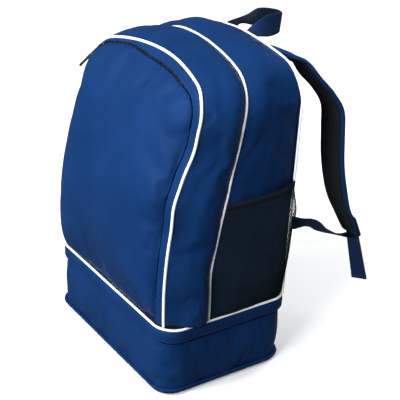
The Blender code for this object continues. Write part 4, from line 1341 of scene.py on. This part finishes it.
# ------------------------------------------------------------------ back


def back_rows(levels, front, columns, lift=None):
    """Rows of points over the back. Each level is a left and a right (x, z)."""
    rows = []
    for (left, left_z), (right, right_z) in levels:
        row = []
        for k in range(columns + 1):
            t = k / columns
            x, z = left + (right - left) * t, left_z + (right_z - left_z) * t
            off = front + (lift(x, z, t) if lift else 0.0)
            row.append(Vector((x, back_surface(x, z) + off, z)))
        rows.append(row)
    return rows


def build_back():
    """The back panel, its padded spacer-mesh field with sewn channels, and the webbing yoke above it."""
    arch = REAR_ARCH.flat(0.5 * MM)
    half = len(arch) // 2
    sides = zip(arch[:half], reversed(arch[half + 1 :]))
    levels = [((lx, lz), (rx, rz)) for (rx, rz, _, _), (lx, lz, _, _) in sides]

    def slack(x, z, t):
        rim = math.sin(math.pi * t) ** 0.5
        return (0.9 * MM * wave(x / 0.05, z / 0.05, 61) - 0.2 * MM) * rim * smoothstep((z - FOOT_Z) / 0.02)

    panel = grid("back_cloth", back_rows(levels, 1.6 * MM, 60, slack), FABRIC)
    fix_facing(panel, Vector((0, -0.3, 0.28)))
    thicken(panel, 1.6 * MM)
    place(panel, "upper_bag", "royal_fabric", "back_panel")

    low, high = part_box("back_pad")
    half_width, radius = high.x, 22 * MM
    levels = []
    count = 70
    for k in range(count + 1):
        z = low.z + (high.z - low.z) * k / count
        near = min(z - low.z, high.z - z)
        cut = radius - math.sqrt(max(0.0, radius**2 - (radius - near) ** 2)) if near < radius else 0.0
        levels.append(((-half_width + cut, z), (half_width - cut, z)))

    def padding(x, z, t):
        rim = min(1.0, min(t, 1 - t) * 2 * half_width / 0.012)
        ends = min(1.0, min(z - low.z, high.z - z) / 0.012)
        crown = 7.0 * MM * math.sqrt(max(0.0, rim * (2 - rim))) * math.sqrt(max(0.0, ends * (2 - ends)))
        channel = 0.0
        for x0 in (-0.055, 0.0, 0.055):
            channel += math.exp(-(((x - x0) / 0.0035) ** 2))
        for z0 in (0.235, 0.325):
            channel += math.exp(-(((z - z0) / 0.0035) ** 2))
        return crown * (1 - 0.62 * min(1.0, channel)) + 0.5 * MM * wave(x / 0.03, z / 0.03, 62) * rim * ends

    pad = grid("back_pad_mesh", back_rows(levels, 2.4 * MM, 64, padding), SPACER)
    fix_facing(pad, Vector((0, -0.3, 0.28)))
    thicken(pad, 1.4 * MM)
    place(pad, "upper_bag", "spacer_mesh", "back_pad")
    edge = []
    for (left, z), _ in levels:
        edge.append((left, z))
    for _, (right, z) in reversed(levels):
        edge.append((right, z))
    loop = [Vector((x, back_surface(x, z) + 2.9 * MM, z)) for x, z in edge]
    binding = tube("back_pad_binding", evenly(loop, 3.0 * MM, closed=True), 1.5 * MM, ELASTIC, closed=True, sides=10)
    place(binding, "upper_bag", "elastic")

    low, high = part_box("strap_yoke")
    levels = [((low.x, z), (high.x, z)) for z in [low.z + (high.z - low.z) * k / 14 for k in range(15)]]

    def cushion(x, z, t):
        rim = min(1.0, min(t, 1 - t) * (high.x - low.x) / 0.005, (z - low.z) / 0.004, (high.z - z) / 0.004)
        return 1.6 * MM * max(0.0, rim) ** 0.5 + 0.15 * MM * wave(x / 0.012, z / 0.012, 63)

    yoke = grid("strap_yoke_band", back_rows(levels, 2.0 * MM, 80, cushion), WEBBING)
    fix_facing(yoke, Vector((0, -0.3, 0.28)))
    thicken(yoke, 1.2 * MM)
    place(yoke, "upper_bag", "navy_webbing", "strap_yoke")
    for k, z in enumerate((low.z + 3 * MM, high.z - 3 * MM)):
        line = [Vector((x, back_surface(x, z) + 3.75 * MM, z)) for x in np.linspace(low.x + 3 * MM, high.x - 3 * MM, 90)]
        stitch_row(f"yoke_stitches_{k}", line, [Vector((0, 1, 0.05))] * len(line), "upper_bag")


def tab_piece(name, node, columns, slot="navy_webbing"):
    """A sewn webbing tab on the back with a box of stitches."""
    low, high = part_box(node)
    levels = [((low.x, z), (high.x, z)) for z in [low.z + (high.z - low.z) * k / 16 for k in range(17)]]

    def rise(x, z, t):
        rim = min(1.0, min(t, 1 - t) * (high.x - low.x) / 0.002, (z - low.z) / 0.002, (high.z - z) / 0.002)
        rib = 0.12 * MM * math.cos((x - low.x) / 0.00125 * math.pi)
        return 1.5 * MM * max(0.0, rim) ** 0.5 + rib

    piece = grid(name, back_rows(levels, 2.3 * MM, columns, rise), WEBBING)
    fix_facing(piece, Vector((0, -0.3, 0.3)))
    thicken(piece, 1.2 * MM)
    place(piece, "upper_bag", slot, node)
    inset = 3 * MM
    near_x, far_x, near_z, far_z = low.x + inset, high.x - inset, low.z + inset, high.z - inset
    box = [(near_x, near_z), (far_x, near_z), (far_x, far_z), (near_x, far_z)]
    line = []
    for (x0, z0), (x1, z1) in zip(box, [*box[1:], box[0]]):
        for k in range(8):
            x, z = x0 + (x1 - x0) * k / 8, z0 + (z1 - z0) * k / 8
            line.append(Vector((x, back_surface(x, z) + 4.0 * MM, z)))
    normals = [Vector((0, 1, 0.05))] * len(line)
    stitch_row(f"{name}_stitches", line, normals, "upper_bag", closed=True, length=2.0 * MM, gap=0.8 * MM)


# ------------------------------------------------------------------ haul handle


HANDLE_UPPER = [
    Vector((-0.0330, 0.0990, 0.4745)),
    Vector((-0.0275, 0.1270, 0.4820)),
    Vector((-0.0150, 0.1400, 0.4950)),
    Vector((-0.0030, 0.1600, 0.4945)),
    Vector((0.0050, 0.1665, 0.4920)),
    Vector((0.0120, 0.1580, 0.4935)),
    Vector((0.0150, 0.1330, 0.4945)),
    Vector((0.0140, 0.1120, 0.4850)),
    Vector((0.0110, 0.0990, 0.4735)),
]
HANDLE_LOWER = [
    Vector((-0.0100, 0.0990, 0.4735)),
    Vector((-0.0180, 0.1140, 0.4745)),
    Vector((-0.0110, 0.1370, 0.4690)),
    Vector((-0.0020, 0.1580, 0.4640)),
    Vector((0.0050, 0.1640, 0.4622)),
    Vector((0.0150, 0.1560, 0.4635)),
    Vector((0.0250, 0.1340, 0.4655)),
    Vector((0.0330, 0.1130, 0.4710)),
    Vector((0.0350, 0.0990, 0.4745)),
]


def build_handle():
    """The haul loop: ribbed webbing, thick at its selvedges, that turns on edge at its grip."""
    upper, lower = smooth_line(HANDLE_UPPER, 16), smooth_line(HANDLE_LOWER, 16)
    cross = 26
    rings = []
    count = len(upper)
    for i, (a, b) in enumerate(zip(upper, lower)):
        k, j = max(i - 1, 0), min(i + 1, count - 1)
        ahead = upper[j] + lower[j] - upper[k] - lower[k]
        normal = ahead.cross(b - a).normalized()
        top, under = [], []
        for c in range(cross + 1):
            t = c / cross
            edge = min(t, 1 - t)
            half = 1.15 * MM * min(1.0, edge / 0.03) ** 0.5 + 0.10 * MM * math.cos(t * 24 * math.pi)
            cup = 0.8 * MM * math.sin(math.pi * t) * wave(i / 18, 0, 71)
            top.append(a.lerp(b, t) + normal * (half + cup))
            under.append(a.lerp(b, t) + normal * (cup - half))
        rings.append(top + under[::-1])
    loop = loft("haul_loop", rings, WEBBING)
    # The loop's under faces take the darker webbing: painted shade on the inner side of the loop
    loop.data.materials.append(WEBBING_PAINTED_SHADE)
    around = 2 * (cross + 1)
    for face in loop.data.polygons[: (count - 1) * around]:
        face.material_index = int(face.index % around > cross)
    place(loop, "handle", "navy_webbing", "haul_handle")
    for side, _ in SIDES:
        tab_piece(f"handle_tab_{side}", f"handle_anchor_{side}", 30)


# ------------------------------------------------------------------ side pockets


POCKET_FRONT_TOP, POCKET_REAR_TOP = 0.286, 0.2945
POCKET_FIRST, POCKET_LAST = 0.012, 0.985


def side_surface(share, z):
    y = middle_depth(z, 1.0) + (rear_depth(z) - middle_depth(z, 1.0)) * share
    rear_x = REAR_ARCH.half_width - REAR_ARCH.foot_in * tuck(z)
    x = MIDDLE_ARCH.half_width + (rear_x - MIDDLE_ARCH.half_width) * share
    return Vector((x + 3.5 * MM * math.sin(math.pi * share), y, z))


# The elastic mouth's section in mm: off the side, and up
MOUTH_SECTION = (
    (-0.9, -0.6), (0.9, -0.9), (1.25, 1.8), (1.2, 4.1), (1.3, 6.6), (0.9, 8.4), (0.0, 9.0), (-0.9, 8.4), (-1.1, 4.1)
)
NET_PITCH, NET_THREAD = 3.3 * MM, 1.05 * MM


def pocket_point(share, rise, away=0.0):
    """A point of the right pocket's net. It bellies off the side, and backwards past the rear edge."""
    mouth_z = POCKET_FRONT_TOP + (POCKET_REAR_TOP - POCKET_FRONT_TOP) * share
    z = FOOT_Z + (mouth_z - FOOT_Z) * rise
    across = clamp((share - POCKET_FIRST) / (POCKET_LAST - POCKET_FIRST))
    rounding = max(0.0, math.sin(math.pi * across**2.2)) ** 0.40
    belly = max(0.0, math.sin(math.pi * (0.03 + 0.80 * rise))) ** 0.8
    rear_puff = 4.5 * MM * smoothstep((share - 0.55) / 0.35) * bell((rise - 0.80) / 0.13)
    rear_puff += 1.5 * MM * smoothstep((share - 0.60) / 0.30) * bell((rise - 0.36) / 0.30)
    slack = 1.3 * MM * wave(share * 5, rise * 1.6, 81) * rounding
    turn = math.radians(52) * share**3
    out = Vector((math.cos(turn), math.sin(turn), 0))
    shift = 0.8 * MM + (16 * MM * rounding) * belly + rear_puff * min(1.0, rounding * 1.6) + slack + away
    return side_surface(share, z) + out * shift


def build_pockets():
    """Each pocket is an open net of six-sided holes under an elastic mouth."""
    pitch = NET_PITCH
    wide, tall = 0.122, 0.170
    columns, rows = round(wide / pitch), round(tall / (pitch * 0.866))
    for side, sign in SIDES:
        bm = bmesh.new()
        found = {}

        def corner(x, y):
            key = (round(x * 6), round(y * 6))
            if key not in found:
                share = POCKET_FIRST + (POCKET_LAST - POCKET_FIRST) * clamp(x / columns)
                p = pocket_point(share, clamp(y / rows))
                found[key] = bm.verts.new((p.x * sign, p.y, p.z))
            return found[key]

        for j in range(rows + 1):
            for i in range(columns + 1):
                cx, cy = i + (0.5 if j % 2 else 0.0), j
                ring = []
                for dx, dy in ((0, 0.667), (0.5, 0.333), (0.5, -0.333), (0, -0.667), (-0.5, -0.333), (-0.5, 0.333)):
                    vert = corner(cx + dx, cy + dy)
                    if vert not in ring:
                        ring.append(vert)
                if len(ring) >= 3:
                    try:
                        bm.faces.new(ring)
                    except ValueError:
                        continue
        loose = [v for v in bm.verts if not v.link_faces]
        bmesh.ops.delete(bm, geom=loose, context="VERTS")
        bmesh.ops.recalc_face_normals(bm, faces=bm.faces[:])
        mesh = bpy.data.meshes.new(f"pocket_net_{side}")
        bm.to_mesh(mesh)
        bm.free()
        net = bpy.data.objects.new(f"pocket_net_{side}", mesh)
        bpy.context.scene.collection.objects.link(net)
        mesh.materials.append(NET)
        wires = net.modifiers.new("threads", "WIREFRAME")
        wires.thickness = NET_THREAD
        wires.use_even_offset = False
        wires.use_boundary = True
        bake(net)
        net.data.shade_smooth()
        place(net, "upper_bag", "black_mesh", f"side_pocket_{side}")

        rings = []
        for k in range(81):
            share = POCKET_FIRST + (POCKET_LAST - POCKET_FIRST) * k / 80
            base = pocket_point(share, 1.0)
            out = (pocket_point(share, 1.0, 1 * MM) - base).normalized()
            ring = []
            rib = 0.18 * MM * math.sin(k * 2.1)
            for a, h in MOUTH_SECTION:
                q = base + out * (a * MM + rib) + Vector((0, 0, h * MM))
                ring.append(Vector((q.x * sign, q.y, q.z)))
            rings.append(ring)
        mouth = loft(f"pocket_mouth_{side}", rings, ELASTIC)
        place(mouth, "upper_bag", "elastic", f"pocket_binding_{side}")
        line = [ring[3].lerp(ring[4], 0.8) for ring in rings]
        normals = [(ring[3] - ring[8]).normalized() for ring in rings]
        stitch_row(f"pocket_mouth_stitches_{side}", [p + n * 0.15 * MM for p, n in zip(line, normals)], normals, "upper_bag")


# ------------------------------------------------------------------ shoulder straps


STRAP_WIDTH, WEB_WIDTH, WEB_THICK = 53 * MM, 25 * MM, 1.6 * MM
SHELL_INNER, SHELL_OUTER, LINING_THICK = 3.0 * MM, 5.5 * MM, 2.6 * MM
LOCK_WIDTH, LOCK_LENGTH, LOCK_THICK = 35 * MM, 36 * MM, 4.5 * MM
FIT_GAP = 0.3 * MM
LEFT_DROP = 12 * MM
STRAP_LINE = [
    Vector((0.0610, 0.1000, 0.4595)),
    Vector((0.0617, 0.1110, 0.4610)),
    Vector((0.0720, 0.1260, 0.4560)),
    Vector((0.0865, 0.1400, 0.4475)),
    Vector((0.1020, 0.1525, 0.4290)),
    Vector((0.1135, 0.1685, 0.4080)),
    Vector((0.1200, 0.1820, 0.3830)),
    Vector((0.1235, 0.1850, 0.3450)),
    Vector((0.1262, 0.1880, 0.3060)),
    Vector((0.1290, 0.1945, 0.2700)),
    Vector((0.1325, 0.2050, 0.2320)),
    Vector((0.1360, 0.2190, 0.2020)),
    Vector((0.1385, 0.2285, 0.1790)),
]
STRAP_DIR = Vector((1.0, -0.12, 0.05))
TAIL_END = Vector((0.1410, 0.2610, 0.0880))
WEB_LINE = [
    Vector((0.1380, 0.1095, 0.2242)),
    Vector((0.1475, 0.1200, 0.2243)),
    Vector((0.1480, 0.1363, 0.2209)),
    Vector((0.1470, 0.1500, 0.2131)),
    Vector((0.1455, 0.1650, 0.2010)),
    Vector((0.1420, 0.1925, 0.1850)),
    Vector((0.1390, 0.2195, 0.1730)),
]


def strap_share(share):
    """(width, thickness) shares at a share of the strap's length: drawn in at both ends."""
    root = min(1.0, share / 0.15)
    end = min(1.0, (1 - share) / 0.08)
    flat_end = min(1.0, max(0.0, (1 - share - 0.09) / 0.14))
    return (0.80 + 0.20 * root) * (0.70 + 0.34 * end**0.6), (0.45 + 0.55 * root) * (0.45 + 0.55 * flat_end)


def ribbed_webbing(name, line, dirs, body, node, thick=WEB_THICK, width=WEB_WIDTH, step=1.6 * MM):
    """Webbing with ribs along it, rounded selvedges and a fine over-and-under across it."""
    fine, fine_dirs = refine(line, dirs, step)
    cross = 22

    def section(share):
        top, under = [], []
        for c in range(cross + 1):
            t = c / cross
            edge = min(t, 1 - t)
            half = thick / 2 * min(1.0, edge / 0.04) ** 0.5 + 0.09 * MM * math.cos(t * 20 * math.pi)
            top.append(((t - 0.5) * width, half))
            under.append(((t - 0.5) * width, -half))
        return top + under[::-1]

    shape = section(0)
    piece = strip_solid(name, fine, fine_dirs, shape, WEBBING)
    place(piece, body, "navy_webbing", *([node] if node else []))
    return piece


def refine(line, dirs, step):
    """The line at even steps, with its width directions carried along."""
    run = lengths(line)
    fine = evenly(line, step)
    fine_run = lengths(fine)
    out, i = [], 0
    for s in fine_run:
        goal = s * run[-1] / fine_run[-1]
        while i < len(line) - 2 and run[i + 1] < goal:
            i += 1
        t = clamp((goal - run[i]) / max(run[i + 1] - run[i], 1e-9))
        out.append(dirs[i].lerp(dirs[i + 1], t).normalized())
    return fine, out


def build_strap(side, sign):
    sink = Vector((0, 0, -LEFT_DROP if sign < 0 else 0.0))

    def placed(points):
        return [Vector((p.x * sign, p.y, p.z)) for p in points]

    def turned(d):
        return Vector((d.x, d.y * sign, d.z * sign))

    body = f"strap_{side}"
    line = smooth_line([p + sink for p in STRAP_LINE], 2)
    fine = evenly(smooth_line([p + sink for p in STRAP_LINE], 8), 3.0 * MM)
    run = lengths(fine)
    fine_dirs = [turned(STRAP_DIR)] * len(fine)
    cross = 20

    def shell_section(share):
        width, thick = strap_share(share)
        half = STRAP_WIDTH * width / 2
        top, under = [], []
        puff = 1 + 0.06 * wave(share * 9, 0, 91)
        for c in range(cross + 1):
            t = c / cross
            a = (t - 0.5) * 2
            seam = math.exp(-(((abs(a) - 0.84) / 0.035) ** 2))
            dome = max(0.0, 1 - abs(a) ** 5) ** 0.5
            outer = -(1.2 * MM + (SHELL_OUTER - 1.2 * MM) * dome * puff) * thick + 0.75 * MM * seam * thick
            inner = (0.8 * MM + (SHELL_INNER - 0.8 * MM) * max(0.0, 1 - abs(a) ** 8)) * thick
            top.append((a * half, outer))
            under.append((a * half, inner))
        return top + under[::-1]

    shell = strip_solid(f"strap_shell_cloth_{side}", placed(fine), fine_dirs, shell_section, FABRIC)
    place(shell, body, "royal_fabric", f"strap_shell_{side}")

    def lining_section(share):
        width, thick = strap_share(share)
        half = (STRAP_WIDTH * width - 7 * MM) / 2
        shift = -1.8 * MM
        top, under = [], []
        for c in range(cross + 1):
            a = (c / cross - 0.5) * 2
            dome = max(0.0, 1 - abs(a) ** 6) ** 0.5
            channel = 0.8 * MM * math.exp(-((a / 0.06) ** 2))
            low = SHELL_INNER * thick - 0.5 * MM
            top.append((a * half + shift, low))
            under.append((a * half + shift, low + 0.9 * MM + (LINING_THICK + 0.6 * MM) * thick * dome - channel * thick))
        return top + under[::-1]

    lining = strip_solid(f"strap_lining_mesh_{side}", placed(fine), fine_dirs, lining_section, SPACER)
    place(lining, body, "spacer_mesh", f"strap_lining_{side}")

    ahead = tangents(fine)
    for edge_sign, label in ((-1, "in"), (1, "out")):
        edge, seam, seam_normals = [], [], []
        for i, p in enumerate(fine):
            share = run[i] / run[-1]
            width, thick = strap_share(share)
            normal = ahead[i].cross(STRAP_DIR).normalized()
            across = normal.cross(ahead[i]).normalized()
            half = STRAP_WIDTH * width / 2
            edge.append(p + across * (edge_sign * half) - normal * (0.1 * MM))
            seam.append(p + across * (edge_sign * (half - 4.0 * MM)) - normal * ((SHELL_OUTER - 0.9 * MM) * thick))
            seam_normals.append(-normal)
        piece = tube(f"strap_binding_{label}_{side}", placed(edge), 1.7 * MM, WEBBING, sides=10,
                     swell=lambda i: 0.75 + 0.25 * strap_share(run[i] / run[-1])[1])
        place(piece, body, "navy_webbing")
        mirrored_normals = [Vector((n.x * sign, n.y, n.z)) for n in seam_normals]
        stitch_row(f"strap_stitches_{label}_{side}", placed(seam), mirrored_normals, body)

    count = len(line)
    shares = [strap_share(k / (count - 1)) for k in range(count)]
    end = line[-1]
    down = (line[-1] - line[-2]).normalized()
    out = STRAP_DIR.cross(down).normalized()
    across = down.cross(out).normalized()
    dirs = [turned(across)] * 3
    tail_lift = SHELL_OUTER * shares[-1][1] + 2 * FIT_GAP + WEB_THICK / 2
    lock_lift = tail_lift + WEB_THICK / 2 + FIT_GAP + LOCK_THICK / 2
    lock_place = end - down * 10 * MM + out * lock_lift
    build_lock(f"lock_frame_{side}", lock_place, down, out, across, sign, body, f"ladder_lock_{side}")

    tab = [lock_place - down * (LOCK_LENGTH / 2 - 3.2 * MM), lock_place - down * (LOCK_LENGTH / 2 + 2 * FIT_GAP)]
    for k in (4, 5):
        step = (line[-k + 1] - line[-k - 1]).normalized()
        off = STRAP_DIR.cross(step).normalized()
        tab.append(line[-k] + off * (SHELL_OUTER * shares[-k][1] + 2 * FIT_GAP + WEB_THICK))
    tab_line = smooth_line(list(reversed(tab)), 4)
    loop_dirs = [turned(across)] * len(tab_line)
    ribbed_webbing(f"lock_loop_{side}", placed(tab_line), loop_dirs, body, f"strap_end_loop_{side}", 2 * WEB_THICK)

    top = end + out * tail_lift - down * 24 * MM
    turn = end + out * tail_lift + down * 8.5 * MM
    in_lock = placed([top, (top + turn) / 2, turn])
    ribbed_webbing(f"tail_in_lock_{side}", in_lock, dirs, f"tail_{side}", f"strap_tail_upper_{side}")
    start = turn + down * 0.2 * MM
    lower = smooth_line([start, (start + TAIL_END + sink) / 2, TAIL_END + sink], 8)
    turns = [math.radians(10 + 20 * k / (len(lower) - 1)) for k in range(len(lower))]
    tail_dirs = [Vector((math.cos(t), math.sin(t) * sign, 0)) for t in turns]
    ribbed_webbing(f"tail_hanging_{side}", placed(lower), tail_dirs, f"tail_end_{side}", f"strap_tail_lower_{side}")
    last = lower[-1]
    tip_down = (lower[-1] - lower[-2]).normalized()
    tip = smooth_line([last - tip_down * 7 * MM, last - tip_down * 2 * MM, last + tip_down * 0.8 * MM], 3)
    tip_dirs = [tail_dirs[-1]] * len(tip)
    ribbed_webbing(f"tail_hem_{side}", placed(tip), tip_dirs, f"tail_end_{side}", None, 2.2 * WEB_THICK, WEB_WIDTH + 0.4 * MM)

    hump = [p + sink * (k / len(WEB_LINE)) for k, p in enumerate(WEB_LINE)]
    web_line = smooth_line([*hump, end + down * 8 * MM + out * 0.5 * MM], 6)
    web_dirs = []
    for k in range(len(web_line)):
        share = k / (len(web_line) - 1)
        angle = math.radians(12 + 62 * (1 - min(1.0, share * 1.2)))
        web_dirs.append(Vector((math.cos(angle), 0, math.sin(angle) * sign)))
    fine_web, fine_web_dirs = refine(placed(web_line), web_dirs, 1.8 * MM)
    cross_count = 22
    section = []
    for c in range(cross_count + 1):
        t = c / cross_count
        half = WEB_THICK / 2 * min(1.0, min(t, 1 - t) / 0.04) ** 0.5 + 0.09 * MM * math.cos(t * 20 * math.pi)
        section.append(((t - 0.5) * WEB_WIDTH, half))
    section = section + [(a, -b) for a, b in reversed(section)]
    piece = strip_solid(f"side_webbing_{side}", fine_web, fine_web_dirs, section, WEBBING)
    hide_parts(f"lower_webbing_{side}")
    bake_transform(piece)
    tab_piece(f"webbing_tab_{side}", f"webbing_anchor_{side}", 20)


def build_lock(name, spot, down, out, across, sign, body, node):
    """A ladder lock: a rounded frame with two windows, ribbed grip bars and a thumb lip at its lower end."""
    half_w, half_l, half_t = LOCK_WIDTH / 2, LOCK_LENGTH / 2, LOCK_THICK / 2

    def at(a, b, c):
        p = spot + across * a + down * b + out * c
        return Vector((p.x * sign, p.y, p.z))

    parts = []
    for edge in (-1, 1):
        rings = []
        for k in range(25):
            t = k / 24
            b = (t - 0.5) * 2 * half_l
            pinch = math.sqrt(max(0.0, 1 - abs(2 * t - 1) ** 6))
            width = 2.0 * MM * (0.55 + 0.45 * pinch)
            centre = edge * (half_w - 2.1 * MM - 1.6 * MM * (1 - pinch))
            rings.append([
                at(centre + width * math.cos(a), b, half_t * (0.8 + 0.2 * pinch) * math.sin(a))
                for a in [2 * math.pi * s / 14 for s in range(14)]
            ])
        parts.append(loft(f"{name}_side_{edge}", rings, PLASTIC))
    bars = ((-0.86, 2.3, 1.0), (0.0, 2.6, 0.85), (0.44, 1.7, 0.75), (0.90, 3.0, 1.15))
    for index, (share, thick, tall) in enumerate(bars):
        rings = []
        for k in range(21):
            a = (k / 20 - 0.5) * 2 * (half_w - 2.5 * MM)
            bow = 1.5 * MM * (1 - (k / 10 - 1) ** 2) if index in (0, 3) else 0.0
            rib = 0.22 * MM * math.cos(k * math.pi) if index in (1, 2) else 0.0
            centre = share * half_l + math.copysign(bow, share) * 0.6
            centre -= math.copysign(thick / 2 * MM, share) * (index in (0, 3)) * 0.4
            rings.append([
                at(a, centre + (thick * MM / 2 + rib) * math.cos(s), half_t * tall * math.sin(s))
                for s in [2 * math.pi * q / 12 for q in range(12)]
            ])
        parts.append(loft(f"{name}_bar_{index}", rings, PLASTIC))
    piece = join(name, parts)
    place(piece, body, "black_plastic", node)


# ------------------------------------------------------------------ carried-over CAD parts


def finish_cad_parts():
    """The stiff tray and the floor panel keep their CAD shapes and take a moulded finish."""
    for node, material in (("base_tray", TRAY), ("floor_panel", TRAY)):
        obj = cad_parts[node]
        obj.data.materials.clear()
        obj.data.materials.append(material)


build_camera()
build_stage()
finish_base = build_base()
finish_gussets = build_gussets()
finish_panel = build_front_panel()
run_simulation()
finish_base()
finish_gussets()
finish_panel()
build_base_zip()
build_rear_hinge()
build_arch_pipings()
build_front_zip()
build_front_sliders()
build_base_sliders()
build_back()
build_handle()
build_pockets()
for strap_side, strap_sign in SIDES:
    build_strap(strap_side, strap_sign)
finish_cad_parts()
